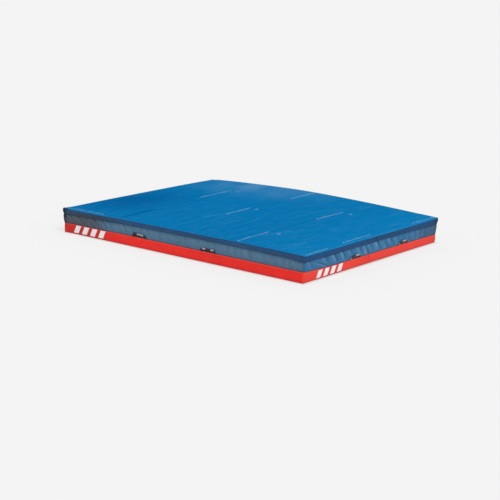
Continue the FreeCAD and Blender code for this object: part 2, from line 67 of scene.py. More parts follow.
LEFT_CORNER_OUT = 0.019                         # how far the left corner is drawn out in plan
FOAM_IN = 0.022                                 # the pad's foam stands this far inside its face
SHEET_IN = 0.0225                               # and the sheet under it this far
GATHER_PITCH = 0.031                            # of the mesh's gathers into the seam
PUCKER_PITCH = 0.043                            # of the band's puckers along its sewn edges
EDGE_PITCH = 0.085                              # of the top sheet's puckers
COATED = 0.0014                                 # the thickness of the coated cloth
FOLD_DEPTH = 0.016                              # a fold this high is fully shaded

rng = np.random.default_rng(7)


def unit(x):
    """Held between 0 and 1."""
    return np.clip(x, 0, 1)


def smooth(low, high, x):
    """0 below low, 1 above high, and an S between them."""
    t = unit((np.asarray(x, float) - low) / (high - low))
    return t * t * (3.0 - 2.0 * t)


def bell(x, width):
    return np.exp(-(np.asarray(x, float) / width) ** 2)


def crown(x, y):
    """How far the mat's layers rise above their corners."""
    across, t = 1.0 - (np.asarray(x) / HALF_X) ** 2, np.asarray(y) / HALF_Y
    middle = CROWN_ENDS + CROWN_MIDDLE * across
    ends = CROWN_FRONT * across * t * (t - 1) + CROWN_BACK * across * t * (t + 1)
    return middle * (1 - t * t) + ends / 2


def crown_detail(x, y):
    """The small ways in which the top differs from its even crown, in millimetres."""
    back = np.interp(x, (-2.5, -2.3, -1.5, -1.0, -0.4, 0.4, 1.0, 1.6, 2.0, 2.4, 2.5),
                     (2, 12, 8, 7, 10, 4, 2, 4, 8, 19, 18))
    front = np.interp(x, (-2.5, -1.4, 0.0, 2.0, 2.5), (0, -3, 0, 9, 8))
    x, y = np.asarray(x), np.asarray(y)
    side = 5 * smooth(1.7, HALF_X, x) * bell(y + 0.3, 1.1)
    side = side - 8 * smooth(1.7, HALF_X, -x) * bell(y + 0.2, 1.3)
    return (back * smooth(0.2, HALF_Y, y) + front * smooth(0.2, HALF_Y, -y) + side) / 1000


def waves(x, y, length, seed, count=14):
    """A smooth random field in -1 to 1 with features about that length."""
    draw = np.random.default_rng(seed)
    total = np.zeros(np.broadcast(x, y).shape)
    for _ in range(count):
        turn = draw.uniform(0, 2 * math.pi)
        rate = 2 * math.pi / (length * draw.uniform(0.7, 1.6))
        phase = draw.uniform(0, 2 * math.pi)
        total += np.sin(rate * (math.cos(turn) * x + math.sin(turn) * y) + phase)
    return total / math.sqrt(count * 2.0) / 1.5


# ---------------------------------------------------------------- the way round the mat
FRONT, RIGHT, BACK, LEFT = range(4)
SIDE_NORMALS = np.array([(0, -1), (1, 0), (0, 1), (-1, 0)], float)
SIDE_ALONGS = np.array([(1, 0), (0, 1), (-1, 0), (0, -1)], float)
STRAIGHT = (HALF_X - CORNER, HALF_Y - CORNER, HALF_X - CORNER, HALF_Y - CORNER)
ARC = CORNER * math.pi / 2
SIDE_MIDDLES = np.cumsum([STRAIGHT[0], *(STRAIGHT[k] + ARC + STRAIGHT[k + 1] for k in range(3))])
ROUND = 2 * sum(STRAIGHT) + 4 * ARC


def round_at(side, along):
    """The distance round the mat of a place on a side, counted from that side's middle."""
    return SIDE_MIDDLES[side] + along


def rim(s):
    """Centres of curvature and outward normals at distances s round the mat."""
    s = np.mod(np.asarray(s, float), ROUND)
    centre, normal = np.zeros(s.shape + (2,)), np.zeros(s.shape + (2,))
    for side in range(4):
        n, a, half = SIDE_NORMALS[side], SIDE_ALONGS[side], STRAIGHT[side]
        face = n * STRAIGHT[(side + 1) % 4]
        local = s - SIDE_MIDDLES[side]
        on = (local >= -half) & (local <= half)
        centre[on], normal[on] = face + np.outer(local[on], a), n
        bend = (local > half) & (local < half + ARC)
        angle = (local[bend] - half) / CORNER
        centre[bend] = face + a * half
        normal[bend] = np.outer(np.cos(angle), n) + np.outer(np.sin(angle), a)
    return centre, normal


def gap_from(s, place):
    """The distance round the mat from a place, the shorter way."""
    return np.mod(np.asarray(s, float) - place + ROUND / 2, ROUND) - ROUND / 2


def corner_gap(s, side):
    """The distance round the mat from the corner at the end of that side."""
    return gap_from(s, SIDE_MIDDLES[side] + STRAIGHT[side] + ARC / 2)


def by_corner(s, side, full, none):
    """1 within 'full' of that corner, falling to 0 at 'none'."""
    return 1 - smooth(full, none, np.abs(corner_gap(s, side)))


def at(s, out, z):
    """World points from the distance round, the way out from the pad's face, and the height."""
    centre, normal = rim(s)
    drawn = np.asarray(out, float) + LEFT_CORNER_OUT * bell(corner_gap(s, LEFT), 0.13)
    flat = centre + normal * (CORNER + drawn)[..., None]
    return np.concatenate([flat, np.broadcast_to(z, flat.shape[:-1])[..., None]], axis=-1)


def rim_steps(counts, corner_steps=10):
    """Distances round the mat: so many even places along each side, and steps round its corner."""
    arc = ARC * np.arange(1, corner_steps) / corner_steps
    return np.concatenate([run for middle, half, count in zip(SIDE_MIDDLES, STRAIGHT, counts)
                           for run in (np.linspace(middle - half, middle + half, count),
                                       middle + half + arc)])


def evenly(step):
    """How many places, about that step apart, each side has."""
    return [round(2 * half / step) + 1 for half in STRAIGHT]


def at_edge(height, s):
    """A height function of x and y, taken along the edge of the mat."""
    centre, normal = rim(s)
    return height(*np.moveaxis(centre + normal * CORNER, -1, 0))


def along_rim(s, *places):
    """A number round the mat from its values at places: each a side, 'along' and the value."""
    at_s, values = np.array(sorted((round_at(side, along) % ROUND, value)
                                   for side, along, value in places)).T
    at_s = np.concatenate([[at_s[-1] - ROUND], at_s, [at_s[0] + ROUND]])
    values = np.concatenate([values[-1:], values, values[:1]])
    s = np.mod(s, ROUND)
    low = np.clip(np.searchsorted(at_s, s) - 1, 0, len(at_s) - 2)
    share = smooth(0, 1, (s - at_s[low]) / (at_s[low + 1] - at_s[low]))
    return values[low] * (1 - share) + values[low + 1] * share


def seam_z(s):
    """The height of the seam between skirt and mesh, lower along the short sides."""
    high, low = LONG_SEAM, END_SEAM
    return along_rim(
        s, (FRONT, -2.45, high - 0.009), (FRONT, -1.6, high - 0.008), (FRONT, -1.1, high),
        (FRONT, 2.45, high + 0.003), (RIGHT, -1.85, high - 0.008), (RIGHT, -1.2, low),
        (RIGHT, 1.0, low), (RIGHT, 1.5, low - 0.006), (RIGHT, 1.95, low - 0.010),
        (BACK, -1.8, high), (BACK, 2.3, high), (LEFT, -1.95, high - 0.006), (LEFT, -1.3, low),
        (LEFT, 1.3, low), (LEFT, 1.95, high - 0.014))


def sewn(s):
    """How far over the edge the sheet and the band are sewn: further down on the short sides."""
    return 0.001 * along_rim(
        s, (FRONT, -2.46, 4), (FRONT, -2.34, 24), (FRONT, -1.75, 27), (FRONT, -1.30, 20),
        (FRONT, 0.60, 19), (FRONT, 1.20, 12), (FRONT, 1.90, 4), (FRONT, 2.43, 3),
        (RIGHT, -1.93, 21), (RIGHT, -1.40, 27), (RIGHT, -0.90, 32), (RIGHT, 1.60, 31),
        (RIGHT, 1.92, 22), (BACK, -2.30, 9), (BACK, 2.30, 9), (LEFT, -1.80, 20), (LEFT, 1.80, 14),
        (LEFT, 1.96, 1))


def over_edge(down):
    """The way out and the drop, that far over the pad's edge and down its face."""
    angle = np.minimum(down / ROLL, math.pi / 2)
    straight = np.maximum(down - ROLL * math.pi / 2, 0)
    return -ROLL * (1 - np.sin(angle)), ROLL * (1 - np.cos(angle)) + straight


def hem_z(s):
    """The height of the navy band's hem."""
    rise = along_rim(
        s, (FRONT, -2.35, 0), (FRONT, -1.70, 8), (FRONT, -0.40, 15), (FRONT, 0.60, 23),
        (FRONT, 1.40, 27), (FRONT, 2.25, 26), (FRONT, 2.47, 14), (RIGHT, -1.85, 12),
        (RIGHT, -1.20, 3), (RIGHT, 1.40, 2), (RIGHT, 1.90, 8), (BACK, -2.00, 9), (BACK, 2.00, 11),
        (LEFT, -1.50, 6), (LEFT, 1.80, 2))
    return PAD_UNDER_Z - 0.004 + at_edge(crown, s) + 0.001 * rise


def near_corner(s, reach):
    """1 at the four upright edges, falling to 0 within that reach."""
    return sum(bell(corner_gap(s, side), reach) for side in range(4))


# ---------------------------------------------------------------- meshes
def make_mesh(name, points, faces, uvs=None):
    """An object from points and faces, with a UV map in metres if each point has one."""
    mesh = bpy.data.meshes.new(name)
    mesh.from_pydata([tuple(p) for p in np.asarray(points, float)], [], [tuple(f) for f in faces])
    if uvs is not None:
        layer = mesh.uv_layers.new(name="cloth")
        index = np.empty(len(mesh.loops), int)
        mesh.loops.foreach_get("vertex_index", index)
        layer.data.foreach_set("uv", np.asarray(uvs, np.float32)[index].ravel())
    mesh.polygons.foreach_set("use_smooth", np.ones(len(mesh.polygons), bool))
    mesh.update()
    obj = bpy.data.objects.new(name, mesh)
    bpy.context.scene.collection.objects.link(obj)
    return obj


def grid(first, second):
    return np.meshgrid(first, second, indexing="ij")


def grid_faces(columns, rows, closed=False):
    """Quads over points stored column by column."""
    c, r = (n.ravel() for n in grid(np.arange(columns - (not closed)), np.arange(rows - 1)))
    here, following = c * rows + r, (c + 1) % columns * rows + r
    return np.stack([here, following, following + 1, here + 1], axis=1)


def facets(points):
    """A grid of points as a plain list, and the quads over it."""
    return points.reshape(-1, points.shape[-1]), grid_faces(*points.shape[:2])


def grid_border(columns, rows):
    """The border of such a grid as four runs of points, in the order of the way round the mat."""
    index = np.arange(columns * rows).reshape(columns, rows)
    return [run.tolist() for run in (index[:, 0], index[-1], index[::-1, -1], index[0, ::-1])]


def tube_faces(rings, around):
    """Quads over a tube stored ring by ring, and a cap at each end."""
    ends = range(around - 1, -1, -1), range((rings - 1) * around, rings * around)
    return [(c + r, c + (r + 1) % around, c + around + (r + 1) % around, c + around + r)
            for c in range(0, ends[1].start, around) for r in range(around)] + [*map(tuple, ends)]


def strip(name, s, rows, surface):
    """A strip right round the mat, and its grid.  surface(s, t) gives the way out and z."""
    grid_s, grid_t = grid(s, rows)
    out, z = surface(grid_s, grid_t)
    rise = np.hypot(np.diff(out, axis=1), np.diff(z, axis=1)).mean(axis=0)
    v = np.concatenate([[0.0], np.cumsum(rise)])
    obj = make_mesh(name, at(grid_s, out, z).reshape(-1, 3), grid_faces(*grid_s.shape, closed=True),
                    np.stack([grid_s, np.broadcast_to(v, grid_s.shape)], axis=-1).reshape(-1, 2))
    obj["flat_width"] = float(v[-1])
    # the last column's texture runs on past the first one's, instead of back to it
    layer = obj.data.uv_layers["cloth"].data
    for polygon in obj.data.polygons[-(len(rows) - 1):]:
        for loop in polygon.loop_indices:
            if layer[loop].uv.x < ROUND / 2:
                layer[loop].uv.x += ROUND
    return obj, grid_s, grid_t


def joined(name, parts):
    """One object from several (points, faces) pairs."""
    points, faces, count = [], [], 0
    for part_points, part_faces in parts:
        points.append(np.asarray(part_points, float))
        faces.extend(tuple(int(v) + count for v in face) for face in part_faces)
        count += len(part_points)
    return make_mesh(name, np.concatenate(points), faces)


def paint(obj, **values):
    """Per-point numbers that the materials read."""
    for name, numbers in values.items():
        layer = obj.data.attributes.new(name, "FLOAT", "POINT")
        layer.data.foreach_set("value", np.resize(np.float32(numbers), len(obj.data.vertices)))


def scatter(name, shape, centres, along, outward):
    """One object of many small tubes of four-sided rings: x runs along, y outward and z up."""
    along = along / np.linalg.norm(along, axis=1)[:, None]
    outward = outward / np.linalg.norm(outward, axis=1)[:, None]
    frames = np.stack([along, outward, np.cross(along, -outward)], axis=1)
    points = centres[:, None] + shape[None] @ frames
    every = np.arange(len(centres))[:, None, None] * len(shape) + np.array(STITCH_FACES)[None]
    return make_mesh(name, points.reshape(-1, 3), every.reshape(-1, 4).tolist())


# a stitch: a short bead with pointed ends, 1 long, 1 wide and 1 high
STITCH = np.array([(x, y, z) for x in (-0.5, -0.28, 0.28, 0.5)
                   for y, z in ((0.5, -0.5), (0.5, 0.5), (-0.4, 0.5), (-0.4, -0.5))])
STITCH[[0, 1, 2, 3, 12, 13, 14, 15], 1:] *= 0.35
STITCH_FACES = tube_faces(4, 4)
STITCH_SIZE, HANDLE_STITCH_SIZE = (0.0055, 0.0011, 0.0011), (0.0036, 0.0009, 0.0010)


def stitches(name, surface, s, t, upright=False):
    """A row of stitches laid on a surface, along it or up it."""
    s, t = np.broadcast_arrays(np.asarray(s, float), np.asarray(t, float))
    step_s, step_t = (0.0, 0.004) if upright else (0.002, 0.0)
    points = []
    for sign in (-1, 0, 1):
        out, z = surface(s + sign * step_s, unit(t + sign * step_t))
        points.append(at(s + sign * step_s, out + 0.0004, z))
    normal = np.concatenate([rim(s)[1], np.zeros((len(s), 1))], axis=1)
    return scatter(name, STITCH * STITCH_SIZE, points[1], points[2] - points[0], normal)


def dress(obj, material, *nodes, body="mat", thick=0.0):
    """Give a piece its thickness, its material and its body, and hide the nodes that it stands for.
    """
    if thick:
        solid = obj.modifiers.new("thickness", "SOLIDIFY")
        solid.thickness, solid.offset, solid.use_even_offset = thick, -1.0, False
    obj.data.materials.append(MATERIALS[material])
    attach(obj, body)
    if nodes:
        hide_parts(*nodes)
    return obj


# ---------------------------------------------------------------- materials
def srgb(*display):
    """A linear colour from 0 to 255 display values."""
    parts = (c / 255.0 for c in display)
    return (*(c / 12.92 if c <= 0.04045 else ((c + 0.055) / 1.055) ** 2.4 for c in parts), 1.0)


class Shader:
    """A Principled material and short ways of adding nodes to it."""

    def __init__(self, name, **sockets):
        self.material = bpy.data.materials.new(name)
        self.material.use_nodes = True
        self.nodes, self.links = self.material.node_tree.nodes, self.material.node_tree.links
        self.bsdf = self.nodes["Principled BSDF"]
        for socket, value in sockets.items():
            self.bsdf.inputs[socket.replace("_", " ")].default_value = value
        self.material.diffuse_color = sockets.get("Base_Color", (0.5, 0.5, 0.5, 1.0))

    def add(self, kind, links=(), **settings):
        """A node: settings that name an input set it, and the others set the node itself."""
        made = self.nodes.new(f"ShaderNode{kind}")
        for key, value in settings.items():
            if key in made.inputs:
                made.inputs[key].default_value = value
            else:
                setattr(made, key, value)
        for socket, source in dict(links).items():
            self.links.new(source, made.inputs[socket])
        return made

    def feed(self, node, output, *terms):
        """Give numbered inputs a number, a colour or another node's output."""
        for index, term in terms:
            if isinstance(term, (tuple, int, float)):
                node.inputs[index].default_value = term
            else:
                self.links.new(term, node.inputs[index])
        return node.outputs[output]

    def place(self, scale=(1.0, 1.0, 1.0), uv=False):
        """Coordinates in metres: the cloth's own along a strip, or else the object's."""
        source = (self.add("UVMap", uv_map="cloth").outputs["UV"] if uv
                  else self.add("TexCoord").outputs["Object"])
        return self.add("Mapping", {"Vector": source}, Scale=scale).outputs["Vector"]

    def attribute(self, name):
        return self.add("Attribute", attribute_name=name).outputs["Fac"]

    def noise(self, vector, scale, detail=4.0, rough=0.55, distort=0.0):
        return self.add("TexNoise", {"Vector": vector}, Scale=scale, Detail=detail, Roughness=rough,
                        Distortion=distort).outputs["Fac"]

    def cells(self, vector, scale, **settings):
        made = self.add("TexVoronoi", {"Vector": vector}, Scale=scale, **settings)
        return made.outputs["Distance"]

    def wave(self, vector, scale, direction="X", distort=0.0):
        return self.add("TexWave", {"Vector": vector}, Scale=scale, Distortion=distort,
                        bands_direction=direction).outputs["Fac"]

    def span(self, value, low, high, to_low=0.0, to_high=1.0):
        return self.feed(self.add("MapRange", {"Value": value}), "Result",
                         *enumerate((low, high, to_low, to_high), start=1))

    def sum(self, first, second, operation="ADD"):
        return self.feed(self.add("Math", operation=operation), "Value", (0, first), (1, second))

    def times(self, first, second):
        return self.sum(first, second, "MULTIPLY")

    def blend(self, factor, first, second, mode="MIX"):
        made = self.add("Mix", data_type="RGBA", blend_type=mode)
        return self.feed(made, 2, (0, factor), (6, first), (7, second))

    def over(self, base, colour, value, low, high, amount=1.0):
        """A colour laid over the base as the value goes from low to high."""
        return self.blend(self.span(value, low, high, 0.0, amount), base, colour)

    def bump(self, height, distance, strength=1.0, under=None):
        links = {"Height": height} if under is None else {"Height": height, "Normal": under}
        return self.add("Bump", links, Distance=distance, Strength=strength).outputs["Normal"]

    def edges(self, base, dark, pale):
        """Darker where the cloth's own numbers paint shade, and paler where they paint highlights.
        """
        base = self.blend(self.attribute("shade"), base, dark)
        return self.blend(self.attribute("worn"), base, pale)

    def sides(self, long_side, short_side, grey):
        """The colour of the long and of the short sides, painted light that shows the two lit
        differently, and a greyer one at the corners.
        """
        base = self.blend(self.attribute("short"), long_side, short_side)
        return self.blend(self.attribute("grey"), base, grey)

    def finish(self, base, value, low, high, normal=None, span=(0.3, 0.7)):
        """The material, its roughness going from low to high with the value."""
        sources = {"Base Color": base, "Roughness": self.span(value, *span, low, high)}
        for socket, source in {**sources, **({"Normal": normal} if normal else {})}.items():
            self.links.new(source, self.bsdf.inputs[socket])
        return self.material


def coated_cloth(name, long_side, short_side, dark, pale, grey, roughness, specular, uv=True,
                 scuffed=1.0, streak=(1.0, 7.0, 4.0), streaky=0.62):
    """PVC-coated polyester: a smooth film over a fine plain weave, a little scuffed and uneven."""
    shader = Shader(name, Base_Color=long_side, Specular_IOR_Level=specular)
    broad, cloth = shader.place(), shader.place(uv=uv)
    tone = shader.noise(broad, 1.4, 5.0)
    # real scuffs on the band and the skirt; stretched along the top sheet they are the painted
    # highlight and shade of its fine creases
    scuff_and_crease_shade = shader.noise(shader.place(streak), 4.0, 6.0, 0.75, 0.6)
    base = shader.sides(long_side, short_side, grey)
    base = shader.over(base, dark, tone, 0.42, 0.75, 0.22 * scuffed)
    base = shader.over(base, pale, shader.noise(broad, 23.0, 4.0, 0.65), 0.52, 0.80, 0.25 * scuffed)
    base = shader.over(base, pale, scuff_and_crease_shade, streaky, streaky + 0.2, 0.26)
    base = shader.blend(shader.span(scuff_and_crease_shade, 0.30, 0.46, 0.30, 0.0), base, dark)
    base = shader.edges(base, dark, pale)
    threads = shader.sum(shader.wave(cloth, 210.0, "X"), shader.wave(cloth, 210.0, "Y"))
    normal = shader.bump(threads, 0.00012, 0.5)
    normal = shader.bump(shader.noise(broad, 60.0, 4.0), 0.0006, 0.6, normal)
    return shader.finish(base, shader.sum(tone, scuff_and_crease_shade), *roughness, normal, (0.6, 1.3))


def knitted_mesh(long_side, short_side, grey, hole, pale):
    """Warp-knitted spacer mesh: rows of small round holes between knitted ribs."""
    shader = Shader("mesh_cloth", Base_Color=long_side, Specular_IOR_Level=0.12)
    cloth, broad = shader.place(uv=True), shader.place()
    open_part = shader.span(shader.cells(cloth, 230.0, Randomness=0.18), 0.16, 0.32, 1.0, 0.0)
    base = shader.sides(long_side, short_side, grey)
    dark = shader.blend(1.0, base, (0.22, 0.24, 0.28, 1.0), "MULTIPLY")
    base = shader.over(base, dark, shader.noise(broad, 2.3, 5.0), 0.42, 0.72, 0.14)
    streak = shader.noise(shader.place((16.0, 2.0, 1.0), uv=True), 1.0, 4.0, 0.7)
    base = shader.over(base, pale, streak, 0.52, 0.78, 0.35)
    base = shader.edges(base, dark, pale)
    base = shader.blend(shader.times(open_part, 0.5), base, hole)
    height = shader.sum(shader.times(open_part, -1.0), shader.wave(cloth, 115.0, "Y"))
    return shader.finish(base, shader.noise(broad, 40.0), 0.68, 0.88,
                         shader.bump(height, 0.0006, 0.7))


def woven_tape(name, colour, pale, pitch=320.0):
    """Narrow woven tape: a herringbone of threads with fuzzy, paler high points."""
    shader = Shader(name, Base_Color=colour, Specular_IOR_Level=0.25, Sheen_Weight=0.15)
    cloth = shader.place()
    threads = shader.times(shader.wave(cloth, pitch, "DIAGONAL", 1.5),
                           shader.wave(cloth, pitch * 0.7, "Z", 0.8))
    wear = shader.noise(cloth, 55.0, 5.0, 0.7)
    base = shader.over(colour, pale, threads, 0.2, 0.9, 0.55)
    base = shader.over(base, pale, wear, 0.55, 0.75, 0.5)
    return shader.finish(base, wear, 0.62, 0.82, shader.bump(threads, 0.0005, 0.8))


def printed_film(name, colour, dull, specular=0.3):
    """A thin printed layer that has begun to craze and pick up dirt."""
    shader = Shader(name, Base_Color=colour, Specular_IOR_Level=specular)
    broad = shader.place()
    crack = shader.span(shader.cells(broad, 90.0, feature="DISTANCE_TO_EDGE"), 0.0, 0.02, 1.0, 0.0)
    where = shader.span(shader.noise(broad, 9.0, 4.0), 0.58, 0.72)
    grime_and_shade = shader.noise(broad, 14.0, 6.0, 0.7)
    base = shader.over(colour, dull, grime_and_shade, 0.45, 0.80, 0.6)
    base = shader.blend(shader.times(shader.times(crack, where), 0.5), base, dull)
    return shader.finish(base, grime_and_shade, 0.4, 0.6, shader.bump(crack, 0.0002, 0.5))


def foam(name, colour, deep, cell_scale):
    """Open-cell polyurethane foam, paler on the cut cell walls."""
    shader = Shader(name, Base_Color=colour, Specular_IOR_Level=0.2)
    broad = shader.place()
    pores = shader.span(shader.cells(broad, cell_scale), 0.15, 0.55)
    age = shader.noise(broad, 3.0, 5.0)
    base = shader.over(shader.blend(pores, deep, colour), deep, age, 0.4, 0.75, 0.4)
    return shader.finish(base, age, 0.85, 0.97, shader.bump(pores, 0.001))


def grip_sheet(colour, dusty):
    """Black anti-slip sheet with raised dots."""
    shader = Shader("grip_rubber", Base_Color=colour, Specular_IOR_Level=0.35)
    broad = shader.place()
    raised = shader.span(shader.cells(broad, 120.0, Randomness=0.0), 0.22, 0.34, 1.0, 0.0)
    base = shader.over(colour, dusty, shader.noise(broad, 8.0, 6.0, 0.7), 0.45, 0.75, 0.7)
    return shader.finish(base, raised, 0.8, 0.55, shader.bump(raised, 0.0008), (0.0, 1.0))


def hook_pile(colour, tips, lint):
    """Hook and loop fastening with lint caught in it."""
    shader = Shader("hook_pile", Base_Color=colour, Sheen_Weight=0.3, Specular_IOR_Level=0.2)
    broad = shader.place()
    pile = shader.noise(broad, 900.0, 3.0, 0.8)
    base = shader.over(colour, tips, pile, 0.4, 0.7)
    base = shader.over(base, lint, shader.noise(broad, 40.0, 6.0, 0.75), 0.62, 0.76, 0.7)
    return shader.finish(base, pile, 0.8, 0.95, shader.bump(pile, 0.001))


def moulded(name, colour, worn, metallic=0.0):
    """Moulded or painted small parts, paler where hands rub them."""
    shader = Shader(name, Base_Color=colour, Metallic=metallic)
    broad = shader.place()
    wear, grain = shader.noise(broad, 130.0, 6.0, 0.7), shader.noise(broad, 1400.0, 2.0)
    base = shader.over(colour, worn, wear, 0.55, 0.72, 0.8)
    return shader.finish(base, wear, 0.32, 0.5, shader.bump(grain, 0.0001))


# the first two colours of the covers and of the mesh are painted light: the long sides and the
# short ones lit differently; the top sheet takes the second toward its right end
MATERIALS = {
    "blue_top": coated_cloth("blue_top", srgb(7, 121, 182), srgb(12, 127, 188), srgb(4, 92, 156),
                             srgb(84, 146, 196), srgb(84, 146, 196), (0.6, 0.78), 0.0, uv=False,
                             scuffed=0.4, streak=(3.6, 0.40, 4.0), streaky=0.51),
    "navy_cover": coated_cloth("navy_cover", srgb(48, 82, 120), srgb(33, 76, 120),
                               srgb(26, 38, 58), srgb(66, 104, 142), srgb(60, 72, 88),
                               (0.5, 0.7), 0.06),
    "red_cover": coated_cloth("red_cover", srgb(244, 50, 44), srgb(236, 68, 58), srgb(176, 34, 30),
                              srgb(250, 96, 86), srgb(204, 48, 42), (0.45, 0.65), 0.08),
    "mesh": knitted_mesh(srgb(90, 127, 155), srgb(55, 119, 166), srgb(90, 97, 106),
                         srgb(34, 56, 84), srgb(122, 160, 192)),
    "binding": woven_tape("binding_tape", srgb(30, 38, 54), srgb(52, 62, 82)),
    "webbing": woven_tape("webbing", srgb(28, 32, 42), srgb(54, 60, 74), 240.0),
    # the dark sheet behind each handle: a painted shadow
    "painted_shadow": woven_tape("painted_shadow_cloth", srgb(22, 26, 36), srgb(40, 48, 64), 420.0),
    "patch": woven_tape("woven_patch", srgb(158, 152, 150), srgb(196, 190, 186), 500.0),
    "red_thread": woven_tape("red_thread", srgb(186, 44, 40), srgb(222, 84, 76), 900.0),
    "thread": woven_tape("thread", srgb(24, 52, 84), srgb(46, 78, 112), 900.0),
    "white_print": printed_film("white_print", srgb(240, 240, 240), srgb(214, 210, 206)),
    "pale_print": printed_film("pale_print", srgb(96, 158, 206), srgb(60, 132, 186)),
    "dark_print": printed_film("dark_print", srgb(6, 84, 148), srgb(6, 104, 164), 0.0),
    "core_foam": foam("core_foam", srgb(214, 206, 160), srgb(178, 168, 122), 700.0),
    "soft_foam": foam("soft_foam", srgb(232, 226, 198), srgb(204, 196, 164), 500.0),
    "grip_sheet": grip_sheet(srgb(38, 38, 42), srgb(92, 88, 82)),
    "hook_loop": hook_pile(srgb(30, 31, 36), srgb(62, 63, 70), srgb(120, 120, 124)),
    "zip_cloth": woven_tape("zip_tape", srgb(34, 35, 40), srgb(58, 60, 68), 600.0),
    "zip_plastic": moulded("zip_teeth", srgb(32, 33, 38), srgb(70, 72, 80)),
    "zip_metal": moulded("zip_slider", srgb(46, 47, 52), srgb(150, 150, 152), 0.6),
}


# ---------------------------------------------------------------- the mesh band's folds
class Folds:
    """Slanted folds round a strip: a soft ridge with a tighter valley on its right."""

    def __init__(self):
        self.rows = []

    def add(self, side, along, lean, width, height):
        """A fold with its middle at 'along', and its top 'lean' further along than its foot."""
        vary = np.random.default_rng(int(1000 * abs(along)) + side)
        self.rows.append((round_at(side, along), lean * vary.uniform(0.7, 1.25),
                          width * vary.uniform(0.75, 1.45), height, vary.uniform(-1, 1, 3)))

    def scatter(self, side, start, end, gap, lean, width, height):
        """Folds at random over a stretch of a side, each number given as a low and a high."""
        along = start
        while along < end:
            self.add(side, along, rng.uniform(*lean), rng.uniform(*width), rng.uniform(*height))
            along += rng.uniform(*gap)

    def __call__(self, s, t):
        """How far the cloth stands out, how deep in a valley it is, and how far up a ridge."""
        out, valley, ridge = np.zeros((3, *s.shape))
        for middle, lean, width, height, (bend, start, sharp) in self.rows:
            gap = gap_from(s, middle)
            near = np.abs(gap) < 1.3 * abs(lean) + 5 * width
            up = t[near]
            path = lean * (up - 0.5) + 0.35 * lean * bend * (up - 0.5) ** 2
            across = (gap[near] - path) / (width * (1.15 - 0.4 * up * (1 + 0.5 * bend)))
            # most folds start at the pad and fade out on the way down, a few the other way
            grows = bell(up - 0.5 - 0.35 * np.sign(start + 0.4), 0.62)
            narrow = 0.62 + 0.22 * sharp
            dip = bell(across - 1.4, narrow)
            out[near] += height * grows * (bell(across, 1.0) - 0.6 * dip)
            strength = height / FOLD_DEPTH * grows
            valley[near] = np.maximum(valley[near], (0.75 - 0.25 * sharp) * strength * dip)
            ridge[near] = np.maximum(ridge[near], strength * bell(across + 0.25, 0.9))
        return out, valley, ridge


folds = Folds()
# strong narrow folds near the front's left corner, and broad ones over half of the right side:
# each side's lean, width and the height that one unit stands for, and then places and heights
for fold_side, fold_lean, fold_width, fold_unit, fold_rows in (
        (FRONT, -0.15, 0.030, 0.00075, (
            (-2.44, 18), (-2.35, 16), (-2.15, 17), (-1.97, 8), (-1.80, 15), (-1.59, 19),
            (-1.46, 12), (-1.30, 6), (-1.13, 11), (-1.00, 9), (-0.78, 6), (-0.60, 11))),
        (RIGHT, -0.13, 0.045, 0.001, (
            (-1.84, 9), (-1.42, 9), (-1.17, 17), (-0.93, 17), (-0.71, 8), (-0.46, 13),
            (-0.29, 18), (-0.15, 9), (0.06, 18), (0.27, 8), (0.46, 12), (0.67, 6), (1.02, 8)))):
    for fold_along, fold_height in fold_rows:
        folds.add(fold_side, fold_along, fold_lean, fold_width, fold_unit * fold_height)
folds.add(RIGHT, -1.64, -0.50, 0.050, 0.012)
# soft upright ones along the rest, and guessed ones on the back and the left
folds.scatter(FRONT, -0.4, 2.35, (0.10, 0.28), (-0.05, 0.02), (0.020, 0.045), (0.002, 0.005))
folds.scatter(RIGHT, 1.2, 1.9, (0.15, 0.30), (-0.06, 0.03), (0.030, 0.060), (0.002, 0.005))
for fold_side, reach in ((BACK, 2.4), (LEFT, 1.9)):
    folds.scatter(fold_side, -reach, reach, (0.09, 0.26), (-0.15, -0.06), (0.028, 0.045),
                  (0.004, 0.013))

# the bends of the handles' paths between their two feet: along and up, in metres
UPRIGHT = (-0.134, 0.030), (-0.108, 0.047), (0, 0.048), (0.080, 0.043), (0.120, 0.024)
SAGGING = (-0.130, 0.030), (-0.098, 0.046), (0, 0.036), (0.096, 0.046), (0.129, 0.030)
LEANING = (-0.117, 0.018), (-0.060, 0.035), (0.020, 0.046), (0.085, 0.049), (0.125, 0.034)
ROUNDED = (-0.120, 0.022), (-0.070, 0.042), (0, 0.048), (0.070, 0.047), (0.120, 0.028)
HANDLES = {
    # side and place along it, bends, labels (from, to and half width) and how far the top leans out
    "handle_front_left": (FRONT, -0.789, UPRIGHT, [(0.36, 0.80, 0.0155)], 0.0025),
    "handle_front_right": (FRONT, 0.651, SAGGING, [(0.15, 0.36, 0.0140), (0.66, 0.87, 0.0140)],
                           0.0020),
    "handle_right_front": (RIGHT, -0.573, LEANING, [(0.50, 0.86, 0.0150), (0.03, 0.12, 0.0130)],
                           0.0030),
    "handle_right_back": (RIGHT, 0.893, ROUNDED, [(0.40, 0.78, 0.0145), (0.03, 0.11, 0.0120)],
                          0.0020),
    "handle_back_right": (BACK, -0.789, ROUNDED, [(0.34, 0.66, 0.0145)], 0.0030),
    "handle_back_left": (BACK, 0.651, UPRIGHT, [(0.34, 0.66, 0.0145)], 0.0020),
    "handle_left_back": (LEFT, -0.573, SAGGING, [(0.34, 0.66, 0.0145)], 0.0025),
    "handle_left_front": (LEFT, 0.893, LEANING, [(0.36, 0.70, 0.0145)], 0.0030),
}
FOOT = 0.137                # each foot's distance from the handle's middle
FOOT_HALF = 0.023           # half the width of a foot's sewn roll
ROLL_RADIUS = 0.0028        # and that roll's radius
STRAP_HALF, STRAP_THICK = 0.0175, 0.0030
SEWN_IN = 0.0145            # the sewn lines' distance from the strap's middle
TAB_HALF = 0.0235           # half the width of the tab behind a foot
HANDLE_SPAN = 0.320
PIVOT_OUT = 0.008 - INSET   # how far out from the pad's face the handles turn


